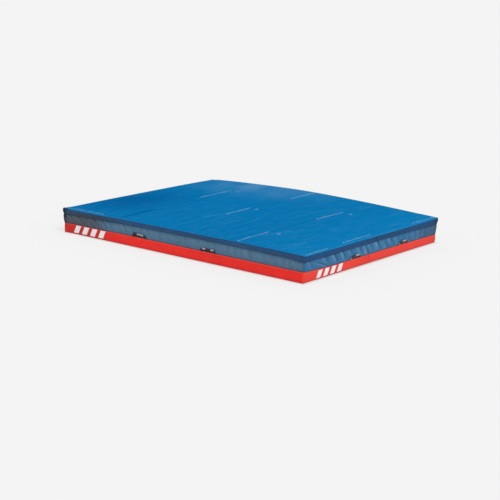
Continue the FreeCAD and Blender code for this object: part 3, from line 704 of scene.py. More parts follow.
def at_handles(s, margin):
    """1 over the handles, 0 away from them."""
    gaps = [np.abs(gap_from(s, round_at(side, along))) for side, along, *_ in HANDLES.values()]
    return 1 - smooth(HANDLE_SPAN / 2, HANDLE_SPAN / 2 + margin, np.min(gaps, axis=0))


def short_side(s):
    """1 along the two short sides, 0 along the two long ones."""
    return rim(s)[1][..., 0] ** 2


# ---------------------------------------------------------------- surfaces of the cover
def mesh_top(s):
    return hem_z(s) + 0.012


def mesh_surface(s, t):
    """From the seam (0) to under the pad (1): a soft outward belly with folds, and a tucked top."""
    return mesh_with_folds(s, t)[:2]


def mesh_with_folds(s, t):
    """The same surface, and how deep in a valley and how far up a ridge each place is."""
    seam = seam_z(s)
    z = seam + (mesh_top(s) - seam) * t
    handle = at_handles(s, 0.08) * (1 - smooth(0.50, 0.8, t))
    belly = 0.007 * np.sin(np.pi * unit(t)) ** 0.8 * (1 - 0.75 * handle)
    belly += 0.006 * near_corner(s, 0.22) * np.sin(np.pi * t)
    belly += 0.007 * bell(corner_gap(s, LEFT), 0.14) * np.sin(np.pi * t)
    under_pad = smooth(0.4, 0.8, t) * (1 - smooth(0.9, 1, t))
    belly += 0.010 * bell(corner_gap(s, RIGHT), 0.12) * under_pad
    held = smooth(0.0, 0.16, t) * (1 - 0.7 * smooth(0.80, 0.97, t))
    crease, valley, ridge = folds(s, t)
    crease += 0.0012 * waves(s, 6 * z, 0.12, 3) + 0.002 * waves(s, 2 * z, 0.6, 4)
    out = -INSET + belly + held * (1 - 0.85 * handle) * crease
    # the lowest part is gathered into the seam
    out += 0.0006 * np.sin(s * 2 * np.pi / GATHER_PITCH) * bell(t - 0.05, 0.06)
    out = np.maximum(out, -INSET - 0.0055) + body_corner(s)
    return out, z, valley * held, ridge * held


def zip_flat(s):
    """1 along the zip on the back, where the skirt lies flat."""
    return 1 - smooth(2.34, 2.44, np.abs(gap_from(s, SIDE_MIDDLES[BACK])))


SKIRT_ROLL = 0.013          # radius of the skirt's turned-under lower edge
SKIRT_FOOT = 0.0032         # where that turn ends, on the underside
SKIRT_TURN = 0.16           # the share of the skirt's rows that are in the turn
BAND_HEM = 0.12             # the share of the band's rows that are under the pad
BAND_SHOULDER = 0.80        # and where its rows over the edge begin


def skirt_surface(s, t):
    """From under the mat (0) up to the seam (1): the first rows turn under the lower edge."""
    turn = unit(t / SKIRT_TURN) * np.pi / 2
    up = unit((t - SKIRT_TURN) / (1 - SKIRT_TURN))
    z = np.where(t < SKIRT_TURN, SKIRT_FOOT + SKIRT_ROLL * (1 - np.cos(turn)),
                 SKIRT_FOOT + SKIRT_ROLL + (seam_z(s) - SKIRT_FOOT - SKIRT_ROLL) * up)
    out = -INSET - SKIRT_ROLL * (1 - np.sin(turn))
    free = 1 - zip_flat(s)
    belly = (0.0035 - 0.001 * at_handles(s, 0.1)) * np.sin(np.pi * up) ** 0.7
    belly += 0.0012 * bell(up - 0.93, 0.05)
    ripple = 0.0010 * waves(s, 5 * z, 0.35, 11) + 0.0018 * waves(s, z, 1.3, 12)
    ripple += 0.0009 * waves(s, 14 * z, 0.09, 13) * near_corner(s, 0.35)
    out += smooth(0.0, 0.15, up) * free * (belly + ripple * (1 - smooth(0.9, 1.0, up)))
    sharp = body_corner(s) * smooth(0.0, 0.1, t)
    return out + sharp, z


def skirt_t(s, z):
    """The row of the skirt at that height."""
    foot = SKIRT_FOOT + SKIRT_ROLL
    return SKIRT_TURN + (1 - SKIRT_TURN) * (np.asarray(z) - foot) / (seam_z(s) - foot)


def ear(s):
    """The band's corners stand out where the cloth is gathered into a point."""
    return 0.018 * near_corner(s, 0.028)


def body_corner(s):
    """The corners of mesh and skirt, drawn out a little sharper, but not the front right one."""
    return 0.006 * (near_corner(s, 0.022) - bell(corner_gap(s, FRONT), 0.022))


def band_surface(s, t):
    """The navy band: from its hem under the pad (0), up the side, and over the edge (1)."""
    seam = sewn(s)
    shoulder = np.maximum(seam, ROLL * math.pi / 2) + 0.004
    down = shoulder + (seam - shoulder) * unit((t - BAND_SHOULDER) / (1 - BAND_SHOULDER))
    back, drop = over_edge(down)
    angle = np.minimum(down / ROLL, math.pi / 2)
    top = TOP_Z + at_edge(crown, s) + at_edge(crown_detail, s)
    low, high = hem_z(s), top - over_edge(shoulder)[1]
    up = unit((t - BAND_HEM) / (BAND_SHOULDER - BAND_HEM))
    hem = unit(t / BAND_HEM)
    full = np.sin(np.pi * up)
    belly = (0.0050 + 0.0045 * near_corner(s, 0.22)) * full
    sway = 0.0018 * waves(s, 2 * up, 0.9, 21) + 0.0008 * waves(s, 1.5 * up, 0.16, 22)
    pucker = 0.0008 * np.sin(s * 2 * np.pi / PUCKER_PITCH + 2 * waves(s, 0, 0.5, 23))
    pucker = pucker * (bell(up - 0.06, 0.1) + 0.6 * bell(up - 0.93, 0.1))
    out = belly + sway * full + pucker - (1 - hem) * 0.016 + 0.0012 * bell(up, 0.12)
    out += ear(s) * smooth(0.2, 1.0, up) + back + 0.0011 * np.sin(angle)
    z = np.where(t < BAND_SHOULDER, low + (high - low) * up, top - drop)
    z += 0.0030 * waves(s, 0, 0.7, 24) * (1 - up) - 0.002 * np.sin(np.pi * hem)
    z += 0.0011 * np.cos(angle) + ear(s) * 0.3 * smooth(0.5, 1, up)
    return out, z


def binding_surface(s, t):
    """The tape over the seam: a low half-round from edge to edge."""
    out = -INSET - 0.0015 + 0.0045 * np.sin(np.pi * unit(t)) ** 0.6
    out += 0.0004 * waves(s, 0, 0.2, 51)
    z = seam_z(s) - 0.0055 + 0.0115 * t + 0.0004 * waves(s, 0, 0.9, 52)
    return out + body_corner(s), z


# ---------------------------------------------------------------- top sheet
CREASES = (
    # start x, y, end x, y, width and height of long soft creases in the sheet
    (-0.25, -1.20, 0.02, -0.02, 0.030, 0.0048), (1.15, -1.90, 1.52, -0.40, 0.034, 0.0055),
    (1.75, -1.90, 2.08, -1.20, 0.028, 0.0050), (0.70, -1.70, 0.95, -0.60, 0.035, 0.0024),
    (-2.10, -1.70, -1.60, -1.20, 0.050, 0.0018), (1.90, 0.30, 2.20, 1.30, 0.050, 0.0018),
    (-0.90, 0.60, -0.40, 1.60, 0.055, 0.0020), (0.30, 0.30, 0.75, 1.40, 0.055, 0.0020),
    (-1.90, 0.20, -1.60, 1.30, 0.055, 0.0016), (-1.27, -1.97, -1.23, -1.05, 0.022, -0.0030),
    (1.95, -1.95, 2.25, -1.35, 0.026, 0.0045), (-0.90, -1.95, -0.70, -1.30, 0.030, 0.0020),
    (1.30, -1.92, 1.62, -0.95, 0.026, 0.0034), (-0.10, -1.00, 0.15, -0.30, 0.024, 0.0030),
)


def crease_height(x, y):
    total = np.zeros(np.shape(x))
    for x0, y0, x1, y1, width, height in CREASES:
        length = math.hypot(x1 - x0, y1 - y0)
        ux, uy = (x1 - x0) / length, (y1 - y0) / length
        along = (x - x0) * ux + (y - y0) * uy
        across = (x - x0) * uy - (y - y0) * ux + 0.03 * np.sin(along * 3.1 / length + x0)
        ends = smooth(-0.1, 0.25 * length, along) * (1 - smooth(0.75 * length, length + 0.1, along))
        total = total + height * bell(across, width) * ends
    return total


def top_wrinkles(x, y):
    """Unevenness of the foam and long soft creases in the sheet over it."""
    total = 0.0026 * waves(x, y, 1.1, 31) + 0.0014 * waves(x, 1.6 * y, 0.35, 32)
    return total + 0.0005 * waves(x, y, 0.11, 33) + crease_height(x, y)


def edge_pull(x, y):
    """Small puckers that run in from the sewn edge."""
    def puckers(along, inward, seed):
        sway = 3 * waves(along, 0, 0.6, seed)
        return np.sin(along * 2 * np.pi / EDGE_PITCH + sway) * bell(inward - 0.05, 0.07)

    return 0.0007 * (puckers(x, HALF_Y - np.abs(y), 41) + puckers(y, HALF_X - np.abs(x), 42))


def top_height(x, y):
    """The top sheet's height before it rolls over the edge."""
    x, y = np.asarray(x, float), np.asarray(y, float)
    calm = smooth(0.0, 0.12, np.minimum(HALF_X - np.abs(x), HALF_Y - np.abs(y)))
    return TOP_Z + crown(x, y) + crown_detail(x, y) + top_wrinkles(x, y) * calm + edge_pull(x, y)


CELLS_X, CELLS_Y = 250, 200
GRID_X = np.linspace(-(HALF_X - CORNER), HALF_X - CORNER, CELLS_X + 1)
GRID_Y = np.linspace(-(HALF_Y - CORNER), HALF_Y - CORNER, CELLS_Y + 1)
ARC_STEPS = 8
# the rows round the grid: two that far from the edge, and then the parts of the roll
ROWS_ROUND = [(-0.034, 0.0), (-0.024, 0.0)] + [(None, part) for part in np.linspace(0, 1, 8)]


def top_sheet():
    """A grid over the flat part, and rows round it that roll down over the edge."""
    grid_x, grid_y = grid(GRID_X, GRID_Y)
    flat, faces = facets(np.stack([grid_x, grid_y, top_height(grid_x, grid_y)], axis=-1))
    points, worn, faces, count = [flat], [np.zeros(len(flat))], faces.tolist(), len(flat)
    # the grid's border in the order of the way round the mat, each corner shared by its arc
    runs = grid_border(CELLS_X + 1, CELLS_Y + 1)
    s = rim_steps([len(run) for run in runs], ARC_STEPS)
    inner = np.concatenate([run + run[-1:] * (ARC_STEPS - 1) for run in runs])
    for out, part in ROWS_ROUND:
        rolled, drop = over_edge(part * (sewn(s) + 0.004))
        out = rolled if out is None else np.full(s.shape, out)
        drawn = ear(s) * smooth(-0.03, -0.005, out)
        row = at(s, out + drawn, 0.0)
        row[:, 2] = top_height(row[:, 0], row[:, 1]) - drop + 0.3 * drawn
        points.append(row)
        # the outer rows of the roll are a little paler: a painted highlight
        worn.append(np.full(len(s), 0.05 * smooth(0, 0.4, part)))
        outer = count + np.arange(len(s))
        for k, n in enumerate(np.roll(np.arange(len(s)), -1)):
            ring = [outer[k], outer[n], inner[n]] + ([] if inner[n] == inner[k] else [inner[k]])
            faces.append([int(v) for v in ring])
        inner, count = outer, count + len(s)
    points = np.concatenate(points)
    obj = make_mesh("top_sheet_cloth", points, faces, points[:, :2])
    x, y = points[:, 0], points[:, 1]
    crease = np.clip(crease_height(x, y) / 0.006, -1, 1)
    cloud = unit(0.5 + waves(x, y, 0.8, 35))
    # paler in the back left quarter, a painted sheen, and darker near the left corner
    painted_sheen = 0.85 * bell(x + 1.1, 1.1) * smooth(0.5, 1.8, y) * (0.35 + 0.65 * cloud)
    dull = 0.75 * bell(x + 2.1, 0.75) * bell(y + 0.7, 1.0)
    patchy = unit(0.6 + 0.7 * waves(x, y, 0.25, 36))
    # a painted highlight on the crease ridges and painted shade in their troughs
    paint(obj, worn=np.maximum(np.concatenate(worn), 0.42 * patchy * smooth(0.25, 0.9, crease)),
          shade=unit(1.3 * unit(-crease) + dull), short=smooth(1.0, 2.4, x),
          grey=painted_sheen)
    return obj


def on_top(x, y, lift):
    """Points just above the top sheet's own facets."""
    x, y = np.asarray(x, float), np.asarray(y, float)
    i = np.clip(np.searchsorted(GRID_X, x) - 1, 0, CELLS_X - 1)
    j = np.clip(np.searchsorted(GRID_Y, y) - 1, 0, CELLS_Y - 1)
    u = unit((x - GRID_X[i]) / (GRID_X[i + 1] - GRID_X[i]))
    v = unit((y - GRID_Y[j]) / (GRID_Y[j + 1] - GRID_Y[j]))
    near, far = (top_height(GRID_X[i], GRID_Y[row]) * (1 - u)
                 + top_height(GRID_X[i + 1], GRID_Y[row]) * u for row in (j, j + 1))
    return np.stack([x, y, near * (1 - v) + far * v + lift], axis=-1)


PRINT_ROWS = (
    # rows of faint print along Y: start x, start y and length
    (-1.33, 0.24, 0.84), (-0.095, -0.57, 0.61), (1.19, -1.93, 0.82), (-0.035, 1.19, 0.79),
    (1.22, 0.17, 0.75), (2.42, -0.85, 0.81), (2.45, 1.22, 0.70), (2.462, -1.90, 0.55),
)
DARK_ROW = (-1.25, -1.92, 0.82)                 # and the row that has darkened
PRINT_MARKS = (-1.16, 1.02), (0.04, 0.01), (1.38, -1.17), (1.38, 0.90)   # single small marks
PRINT_LIFT = 0.0006         # how far print lies above the sheet


def print_marks():
    """Rows of short bars printed on the top sheet: the pale ones, and one row that has darkened."""
    draw = np.random.default_rng(61)

    def bar(x, y, width, length):
        return facets(on_top(*grid(np.linspace(x, x + width, 3), np.linspace(y, y + length, 4)),
                             PRINT_LIFT))

    def row(x, y, length):
        bars, end = [], y + length
        while y < end:
            size, tall = draw.uniform(0.030, 0.060), draw.choice((0.028, 0.044))
            bars.append(bar(x - tall / 2, y, tall, size))
            y += size + draw.uniform(0.014, 0.030)
        return bars

    pale = [part for place in PRINT_ROWS for part in row(*place)]
    pale += [bar(x, y, 0.030, 0.090) for x, y in PRINT_MARKS]
    x = -2.45
    while x < -1.62:
        size = draw.uniform(0.030, 0.055)
        pale.append(bar(x, -1.95, size, draw.uniform(0.030, 0.055)))
        x += size + draw.uniform(0.020, 0.036)
    return joined("print_marks", pale), joined("print_marks_dark", row(*DARK_ROW))


def pad_foam():
    """The pad's foam: a closed block under the top sheet, with its edges eased."""
    half_x, half_y = HALF_X - FOAM_IN, HALF_Y - FOAM_IN
    u, v = grid(np.linspace(-1, 1, 101), np.linspace(-1, 1, 81))
    pull = 1 - 0.03 / half_y * np.abs(u) ** 60 * np.abs(v) ** 60
    x, y = u * half_x * pull, v * half_y * pull
    near = np.minimum(half_x - np.abs(u) * half_x, half_y - np.abs(v) * half_y)
    ease = 0.02 * (1 - smooth(0, 0.03, near)) ** 2
    top, faces = facets(np.stack([x, y, top_height(x, y) - 0.0045 - ease], axis=-1))
    bottom, _ = facets(np.stack([x, y, PAD_UNDER_Z + 0.0045 + crown(x, y) + ease / 2], axis=-1))
    border, count = sum((run[:-1] for run in grid_border(*u.shape)), []), len(top)
    walls = [(before + count, here + count, here, before)
             for before, here in zip(border[-1:] + border, border)]
    return make_mesh("pad_foam_block", np.concatenate([top, bottom]),
                     faces.tolist() + (faces[:, ::-1] + count).tolist() + walls)


# ---------------------------------------------------------------- handles
def curve_through(points, count):
    """A smooth curve through points, as evenly spaced places with tangents and left normals."""
    points = np.array(points, float)
    ends = np.concatenate([[2 * points[0] - points[1]], points, [2 * points[-1] - points[-2]]])
    dense = []
    for k in range(1, len(ends) - 2):
        t = np.linspace(0, 1, 24, endpoint=False)[:, None]
        a, b, c, d = ends[k - 1:k + 3]
        dense.append(0.5 * (2 * b + (c - a) * t + (2 * a - 5 * b + 4 * c - d) * t ** 2
                            + (3 * b - a - 3 * c + d) * t ** 3))
    dense = np.concatenate(dense + [points[-1:]])
    length = np.concatenate([[0], np.cumsum(np.linalg.norm(np.diff(dense, axis=0), axis=1))])
    even = np.linspace(0, length[-1], count)
    place = np.stack([np.interp(even, length, dense[:, k]) for k in (0, 1)], axis=1)
    tangent = np.gradient(place, axis=0)
    tangent /= np.linalg.norm(tangent, axis=1)[:, None]
    return place, np.stack([-tangent[:, 1], tangent[:, 0]], axis=1)


LABEL_LIFT, LABEL_THICK = 0.0023, 0.0008


class Handle:
    """A carry handle of webbing, flat against its side, in that side's own u (along) and v (up)."""

    def __init__(self, name):
        self.name = name
        self.side, self.along, bends, self.labels, self.lean = HANDLES[name]
        self.path = [(-FOOT, 0.0), *bends, (FOOT, 0.0)]
        self.pivot = float(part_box(name)[0][2]) + 0.003

    def world(self, u, v, w):
        """Points at u along, v above the pivot and w out from it."""
        u, v, w = np.broadcast_arrays(u, v, w)
        return at(round_at(self.side, self.along + u), PIVOT_OUT + w, self.pivot + v)

    def out(self, v, fraction):
        """How far the webbing's middle stands out from the pivot's plane."""
        return self.lean * smooth(0.0, 0.05, v) + 0.0008 * np.sin(np.pi * fraction)

    def ribbon(self, first, last, half, thick, lift, count):
        """A flat ribbon over part of the path, from fraction 'first' to 'last'."""
        pick, known = np.linspace(first, last, count), np.linspace(0, 1, 241)
        place, normal = (np.stack([np.interp(pick, known, values[:, k]) for k in (0, 1)], 1)
                         for values in curve_through(self.path, len(known)))
        half, thick = np.broadcast_to(half, pick.shape), np.broadcast_to(thick, pick.shape)
        across = np.array([-1, -0.94, -0.4, 0.4, 0.94, 1, 1, 0.94, 0.4, -0.4, -0.94, -1])
        face = np.array([0.25, 0.5, 0.5, 0.5, 0.5, 0.25, -0.25, -0.5, -0.5, -0.5, -0.5, -0.25])
        uv = place[:, None] + normal[:, None] * (half[:, None] * across)[..., None]
        uv[..., 1] = np.maximum(uv[..., 1], -0.004)
        w = self.out(uv[..., 1], pick[:, None]) + lift + thick[:, None] * face
        return self.world(uv[..., 0], uv[..., 1], w).reshape(-1, 3), tube_faces(count, len(across))

    def roll(self, u0, u1):
        """The sewn roll at a foot, which the handle turns about."""
        angle = np.linspace(0, 2 * np.pi, 12, endpoint=False)
        radius = ROLL_RADIUS * (1 - 0.5 * np.linspace(-1, 1, 12) ** 8)[:, None]
        points = self.world(np.linspace(u0, u1, 12)[:, None], radius * np.sin(angle),
                            radius * np.cos(angle))
        return points.reshape(-1, 3), tube_faces(12, 12)

    def build(self):
        fraction = np.linspace(0, 1, 97)
        mitre = (smooth(0.10, 0.115, fraction) - smooth(0.235, 0.25, fraction)
                 + smooth(0.75, 0.765, fraction) - smooth(0.885, 0.90, fraction))
        half = STRAP_HALF + 0.0045 * bell(np.minimum(fraction, 1 - fraction), 0.06)
        thick = STRAP_THICK + 0.0012 * mitre + 0.0004 * np.sin(fraction * 61)
        strap = self.ribbon(0, 1, half, thick, 0.0, 97)
        feet = [self.roll(foot - FOOT_HALF, foot + FOOT_HALF) for foot in (-FOOT, FOOT)]
        dress(joined(f"{self.name}_webbing", [strap, *feet]), "webbing", self.name, body=self.name)
        sewn_lines = self.stitch_line(-SEWN_IN) + self.stitch_line(SEWN_IN)
        dress(joined(f"{self.name}_stitching", sewn_lines), "thread", body=self.name)
        # the label: pale woven blocks on a dark tape
        pale = []
        for first, last, half_label in self.labels:
            blocks = max(1, int(round((last - first) * 0.34 / 0.05)))
            step = (last - first) / blocks
            for k in range(blocks):
                pale.append(self.ribbon(first + k * step + 0.012 * (blocks > 1),
                                        first + (k + 1) * step - 0.006, half_label, LABEL_THICK,
                                        LABEL_LIFT, 9))
        dress(joined(f"{self.name}_label", pale), "patch",
              self.name.replace("handle_", "handle_patch_"), body=self.name)
        self.painted_shadow()

    def stitch_line(self, offset, count=64):
        """The stitches of one sewn line along the strap, that far from its middle."""
        place, normal = curve_through(self.path, count)
        parts = []
        for k in range(1, count - 2):
            u, v = place[k] + normal[k] * offset
            w = self.out(v, k / count) + 0.0021
            up, along = -normal[k][0], normal[k][1]
            x, y, z = (STITCH * HANDLE_STITCH_SIZE).T
            parts.append((self.world(u + along * x - up * z, v + up * x + along * z, w + y),
                          STITCH_FACES))
        return parts

    def painted_shadow(self):
        """A dark half-moon laid on the mesh behind the handle: a painted shadow under the strap's
        arch.
        """
        u, t = grid(np.linspace(-0.150, 0.150, 41), np.linspace(0, 1, 9))
        z = self.pivot + 0.002 + (0.008 + 0.044 * (1 - (np.abs(u) / 0.152) ** 3)) * t
        s = round_at(self.side, self.along + u)
        out, _ = mesh_surface(s, (z - seam_z(s)) / (mesh_top(s) - seam_z(s)))
        cloth = make_mesh(f"{self.name}_backing", *facets(at(s, out + 0.0010, z)))
        dress(cloth, "painted_shadow", thick=0.0008)


def anchor_tabs():
    """The folded tabs at the handles' feet."""
    parts, across = [], np.linspace(-1, 1, 13)
    for side, along, *_ in HANDLES.values():
        for foot in (-FOOT, FOOT):
            s, t = grid(round_at(side, along + foot) + TAB_HALF * across,
                        np.linspace(0, 1, 9))
            pillow = np.sin(np.pi * t) ** 0.5 * (1 - 0.6 * across ** 6)[:, None]
            out = -INSET - 0.001 + 0.0050 * pillow
            parts.append(facets(at(s, out, seam_z(s) - 0.0065 + 0.0125 * t)))
    return joined("handle_anchor_tabs_cloth", parts)


# ---------------------------------------------------------------- zip
def zip_tape(low, high, lift):
    """One tape of the zip, or the cloth strip between the two."""
    s, t = grid(round_at(BACK, 0.0) + ZIP_HALF * np.linspace(-1, 1, 461), np.linspace(0, 1, 7))
    edge = smooth(0, 0.12, t) * (1 - smooth(0.88, 1, t))
    out = -INSET + 0.0002 + (lift - 0.0002 + 0.00012 * waves(s, t, 0.12, 71)) * edge
    z = low + (high - low) * t + 0.0004 * waves(s, 0, 0.5, 72) * (t - 0.5) ** 2
    return facets(at(s, out, z))


ZIP_Z, ZIP_HALF, TOOTH_PITCH = 0.095, 2.300, 0.005


def zip_teeth():
    """Interlocked moulded teeth, from the upper and the lower tape in turn."""
    s = round_at(BACK, 0.0) + np.arange(0.003 - ZIP_HALF, ZIP_HALF - 0.003, TOOTH_PITCH / 2)
    turn = np.where(np.arange(len(s)) % 2 == 0, 1.0, -1.0)
    # a tooth's rings in millimetres: the height and the width of each
    rings = (-1.3, 0.75), (-0.4, 1.25), (1.2, 0.8), (4.0, 0.95)
    shape = np.array([(-x * w, y, z) for z, w in rings
                      for x, y in ((-1, -1.25), (1, -1.25), (1, 1.25), (-1, 1.25))]) / 1000
    shape[:4, 1] *= 0.7
    points = at(s, np.full(s.shape, -INSET + 0.0018), ZIP_Z)[:, None] + shape
    points[..., 2] = ZIP_Z + shape[:, 2] * turn[:, None]
    every = np.arange(len(s))[:, None, None] * len(shape) + np.array(STITCH_FACES)[None]
    every[turn < 0] = every[turn < 0][..., ::-1]
    return make_mesh("zip_teeth", points.reshape(-1, 3), every.reshape(-1, 4).tolist())


# ---------------------------------------------------------------- floor, lights and camera
FLOOR = 400.0               # the floor's half width


def studio():
    """A pale floor that glows a little, a white sky and one soft key light."""
    floor = make_mesh("studio_floor", [(-FLOOR, -FLOOR, 0), (FLOOR, -FLOOR, 0), (FLOOR, FLOOR, 0),
                                       (-FLOOR, FLOOR, 0)], [(0, 1, 2, 3)])
    pale = Shader("studio_floor", Roughness=0.9, Specular_IOR_Level=0.0,
                  Emission_Color=(1.0, 1.0, 1.0, 1.0))
    # a painted contact shadow: darker in the narrow strip that the mat shades
    split = pale.add("SeparateXYZ", {"Vector": pale.place()})
    squares = []
    for axis, half in (("X", HALF_X - INSET), ("Y", HALF_Y - INSET)):
        beyond = pale.sum(pale.sum(split.outputs[axis], 0.0, "ABSOLUTE"), half, "SUBTRACT")
        squares.append(pale.sum(pale.sum(beyond, 0.0, "MAXIMUM"), 2.0, "POWER"))
    away = pale.sum(pale.sum(*squares), 0.5, "POWER")
    lit = pale.span(away, 0.0, 0.060, 0.74, 1.0)
    colour = pale.blend(lit, (0.0, 0.0, 0.0, 1.0), (0.27, 0.27, 0.27, 1.0))
    pale.links.new(pale.times(lit, 0.655), pale.bsdf.inputs["Emission Strength"])
    floor.data.materials.append(pale.finish(colour, pale.noise(pale.place(), 3.0), 0.85, 0.95))

    world = bpy.data.worlds.new("studio")
    world.use_nodes = True
    sky = world.node_tree.nodes["Background"].inputs
    sky["Color"].default_value, sky["Strength"].default_value = (1.0, 1.0, 1.0, 1.0), 0.55
    bpy.context.scene.world = world

    lamp = bpy.data.lights.new("key", "SUN")
    lamp.energy, lamp.angle = 1.5, math.radians(35)
    key = bpy.data.objects.new("key", lamp)
    key.rotation_mode = "QUATERNION"
    key.rotation_quaternion = Vector((0.62, -0.30, 0.85)).to_track_quat("Z", "Y")
    bpy.context.scene.collection.objects.link(key)
    bpy.context.scene.view_settings.view_transform = "Standard"


def camera():
    """At the photograph's place: fitted to the mat's eight corners."""
    yaw, elevation, roll = (math.radians(a) for a in (36.857, 13.223, 2.004))
    back = Vector((math.sin(yaw) * math.cos(elevation), -math.cos(yaw) * math.cos(elevation),
                   math.sin(elevation)))
    right = Vector((math.cos(yaw), math.sin(yaw), 0.0))
    up = back.cross(right)
    right, up = (math.cos(roll) * right + math.sin(roll) * up,
                 -math.sin(roll) * right + math.cos(roll) * up)
    lens = bpy.data.cameras.new("camera")
    lens.sensor_width, lens.lens, lens.clip_end = 36.0, 95.48, 1500.0
    obj = bpy.data.objects.new("camera", lens)
    turn = Matrix((right, up, back)).transposed().to_4x4()
    obj.matrix_world = Matrix.Translation((13.3287, -17.7959, 4.9994)) @ turn
    bpy.context.scene.collection.objects.link(obj)
    bpy.context.scene.camera = obj


# ---------------------------------------------------------------- build
fine, medium = rim_steps(evenly(0.010)), rim_steps(evenly(0.018))

foam_pad = dress(pad_foam(), "soft_foam", "pad_foam")

pad_x, pad_y = grid((HALF_X - SHEET_IN) * np.linspace(-1, 1, 81),
                    (HALF_Y - SHEET_IN) * np.linspace(-1, 1, 65))
pad_points, pad_faces = facets(np.stack([pad_x, pad_y, PAD_UNDER_Z + 0.0015 + crown(pad_x, pad_y)],
                                        axis=-1))
pad_sheet = make_mesh("pad_underside_cloth", pad_points, pad_faces[:, ::-1], pad_points[:, :2])
dress(pad_sheet, "mesh", "pad_underside", thick=0.0010)

top = dress(top_sheet(), "blue_top", "top_sheet", thick=COATED)
for marks, ink in zip(print_marks(), ("pale_print", "dark_print")):
    dress(marks, ink)

# the navy band round the pad: its long and short sides painted as lit differently, darker at its
# edges and toward the far right corner, painted shade at the left corner, and greyer along the left
band, s, t = strip("side_band_cloth", medium, np.concatenate(
    [np.linspace(0, BAND_HEM, 4), np.linspace(0.16, 0.78, 15), np.linspace(BAND_SHOULDER, 1.0, 8)]),
    band_surface)
left = by_corner(s, LEFT, 0.6, 1.5)
shade = bell(t - 0.13, 0.04) * (0.2 + 0.5 * left) + bell(t - 1.0, 0.11) * (0.5 + 0.4 * left)
shade += by_corner(s, LEFT, 0.01, 0.09) + 0.45 * by_corner(s, RIGHT, 0.0, 0.25)
paint(band, short=short_side(s), worn=0, shade=unit(shade),
      grey=0.85 * left + 0.2 * by_corner(s, RIGHT, 0.0, 0.4))
dress(band, "navy_cover", "side_band_front", "side_band_rear", thick=COATED)

# the mesh band between the pad and the skirt: its long and short sides painted as lit differently,
# painted shade in its fold valleys and at the left corner, painted highlights on its ridges, and
# darker along its foot, at each corner, low on the long sides and toward the far right end
mesh, s, t = strip("mesh_band_cloth", fine, np.linspace(0, 1, 22), mesh_surface)
_, _, valley, ridge = mesh_with_folds(s, t)
short, left, far = short_side(s), by_corner(s, LEFT, 0.60, 1.10), by_corner(s, RIGHT, 0.0, 1.1)
shade = 0.80 * valley + 0.5 * bell(t, 0.03) + 0.35 * near_corner(s, 0.03) + 0.28 * far
shade += by_corner(s, LEFT, 0.01, 0.09) + 0.16 * (1 - short) * (1 - smooth(0.1, 0.6, t))
worn = (0.35 + 0.2 * short) * ridge * (1 - 0.8 * left) * (1 - 0.6 * far)
paint(mesh, short=short, grey=unit(left + 0.45 * far), shade=unit(shade),
      worn=unit(worn))
dress(mesh, "mesh", "mesh_band_left", "mesh_band_right", thick=0.0016)

# the red skirt round the base: its long and short sides painted as lit differently, patchy painted
# shade near the floor, a painted highlight along its upper edge, and darker right at the seam
skirt, s, t = strip("base_skirt_cloth", medium, np.concatenate(
    [np.linspace(0, SKIRT_TURN, 7), np.linspace(0.2, 1, 18)]), skirt_surface)
grime_and_shade = unit(0.5 + waves(s, 3 * t, 0.4, 81))
shade = 0.45 * (1 - smooth(0.14, 0.36, t)) * grime_and_shade + 0.4 * bell(t - 1, 0.03)
paint(skirt, short=short_side(s), worn=0.45 * smooth(0.86, 0.93, t), shade=unit(shade),
      grey=by_corner(s, LEFT, 0.4, 1.4) + 0.3 * by_corner(s, RIGHT, 0.0, 0.5))
dress(skirt, "red_cover", "base_skirt_front", "base_skirt_rear", thick=COATED)

binding, *_ = strip("seam_binding_tape", medium, np.linspace(0, 1, 11), binding_surface)
dress(binding, "binding", "seam_binding")

# the sheet under the mat, lightly uneven between the points it stands on
under_x, under_y = grid(np.linspace(-1, 1, 101), np.linspace(-1, 1, 81))
reach_x, reach_y = HALF_X - INSET - 0.0120, HALF_Y - INSET - 0.0120
pull_in = 1 - 0.0008 * (np.abs(under_x) ** 40) * (np.abs(under_y) ** 40)
under_z = 0.0018 + 0.0010 * waves(under_x * 2.5, under_y * 2.0, 0.45, 91)
under_points, under_faces = facets(np.stack(
    [under_x * reach_x * pull_in, under_y * reach_y * pull_in, np.clip(under_z, 0.0006, 0.0032)],
    axis=-1))
underside = make_mesh("underside_cloth", under_points, under_faces[:, ::-1])
dress(underside, "grip_sheet", "underside_sheet", thick=0.0008)

# four slanted bars printed on the skirt near each of two corners
BAR_PITCH, BAR_WIDE, BAR_SLANT, BAR_FOOT = 0.188, 0.110, 0.060, 0.028
for bars_name, side, bar_start, bar_tall in (("front", FRONT, -2.280, 0.130),
                                             ("right", RIGHT, -1.640, 0.114)):
    bars, (a, b) = [], grid(np.linspace(0, 1, 12), np.linspace(0, 1, 13))
    for number in range(4):
        bar_s = round_at(side, bar_start + BAR_PITCH * number + BAR_WIDE * a + BAR_SLANT * b)
        bar_out, bar_z = skirt_surface(bar_s, skirt_t(bar_s, BAR_FOOT + bar_tall * b))
        bars.append(facets(at(bar_s, bar_out + 0.0009, bar_z)))
    dress(joined(f"skirt_bars_{bars_name}_print", bars), "white_print", f"skirt_bars_{bars_name}")


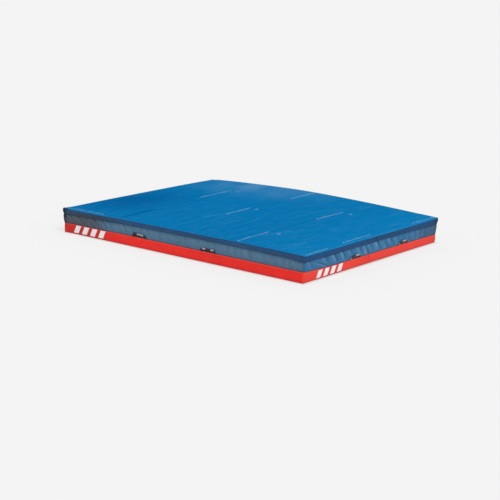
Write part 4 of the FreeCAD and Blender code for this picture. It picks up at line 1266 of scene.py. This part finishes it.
def panel_join(name, surface, middle, low_t, high_t, half, material, thread):
    """A folded strip up a surface where two panels meet, with two rows of stitches."""
    across = np.linspace(-1, 1, 9)
    s, t = grid(middle + half * across, np.linspace(low_t, high_t, 28))
    out, z = surface(s, t)
    proud = 0.0012 * (1 - across ** 6)[:, None] + 0.0002
    join = make_mesh(name, *facets(at(s, out + proud, z)), np.stack([s, z], axis=-1).reshape(-1, 2))
    paint(join, short=short_side(s), shade=0.25, worn=0)
    dress(join, material)
    row_t = np.arange(low_t + 0.03, high_t - 0.02, 0.045)
    for number, sign in enumerate((-1, 1)):
        dress(stitches(f"{name}_stitches_{number}",
                       lambda s, t: (surface(s, t)[0] + 0.0012, surface(s, t)[1]),
                       middle + sign * half * 0.6 + 0 * row_t, row_t, upright=True), thread)


for kind, places, *sizes in (
        ("mesh", (("front", FRONT, 1.492), ("back", BACK, -1.492)), 0.03, 0.97, 0.007, "mesh",
         "thread"),
        ("skirt", (("right", RIGHT, -0.165), ("left", LEFT, 0.165)), 0.06, 0.95, 0.012, "red_cover",
         "red_thread"),
        ("band", (("right", RIGHT, 0.0), ("left", LEFT, 0.0)), 0.10, 0.96, 0.009, "navy_cover",
         "thread")):
    surface = {"mesh": mesh_surface, "skirt": skirt_surface, "band": band_surface}[kind]
    for where, side, along in places:
        panel_join(f"{kind}_join_{where}", surface, round_at(side, along), *sizes)

# rows of stitches round the mat
for row_name, surface, t, pitch, thread in (
        ("band_top_stitches", band_surface, 0.985, 0.0080, "thread"),
        ("band_hem_stitches", band_surface, 0.205, 0.0080, "thread"),
        ("skirt_top_stitches", skirt_surface, 0.930, 0.0085, "red_thread"),
        ("binding_stitches", binding_surface, 0.50, 0.0075, "binding")):
    dress(stitches(row_name, surface, np.arange(0, ROUND, pitch), t), thread)

for handle_name in HANDLES:
    Handle(handle_name).build()
dress(anchor_tabs(), "webbing", "handle_anchor_tabs")

# each tape's lower and upper edge and its lift, and the cloth strip between the tapes that goes
# with the lower one
for tape_name, *tapes in (
        ("zip_tape_lower", (0.0750, 0.0935, 0.0011), (0.0925, 0.0975, 0.0004)),
        ("zip_tape_upper", (0.0965, 0.1150, 0.0011))):
    dress(joined(f"{tape_name}_cloth", [zip_tape(*tape) for tape in tapes]), "zip_cloth", tape_name)
dress(zip_teeth(), "zip_plastic", "zip_chain")

# every CAD node that still shows takes its slot's material
SLOTS = {entry["node"]: entry["material_slot"] for entry in frame["record"]["subparts"]}
for node_name, node_object in frame["nodes"].items():
    node_object.data.materials.clear()
    node_object.data.materials.append(MATERIALS[SLOTS[node_name]])

studio()
camera()
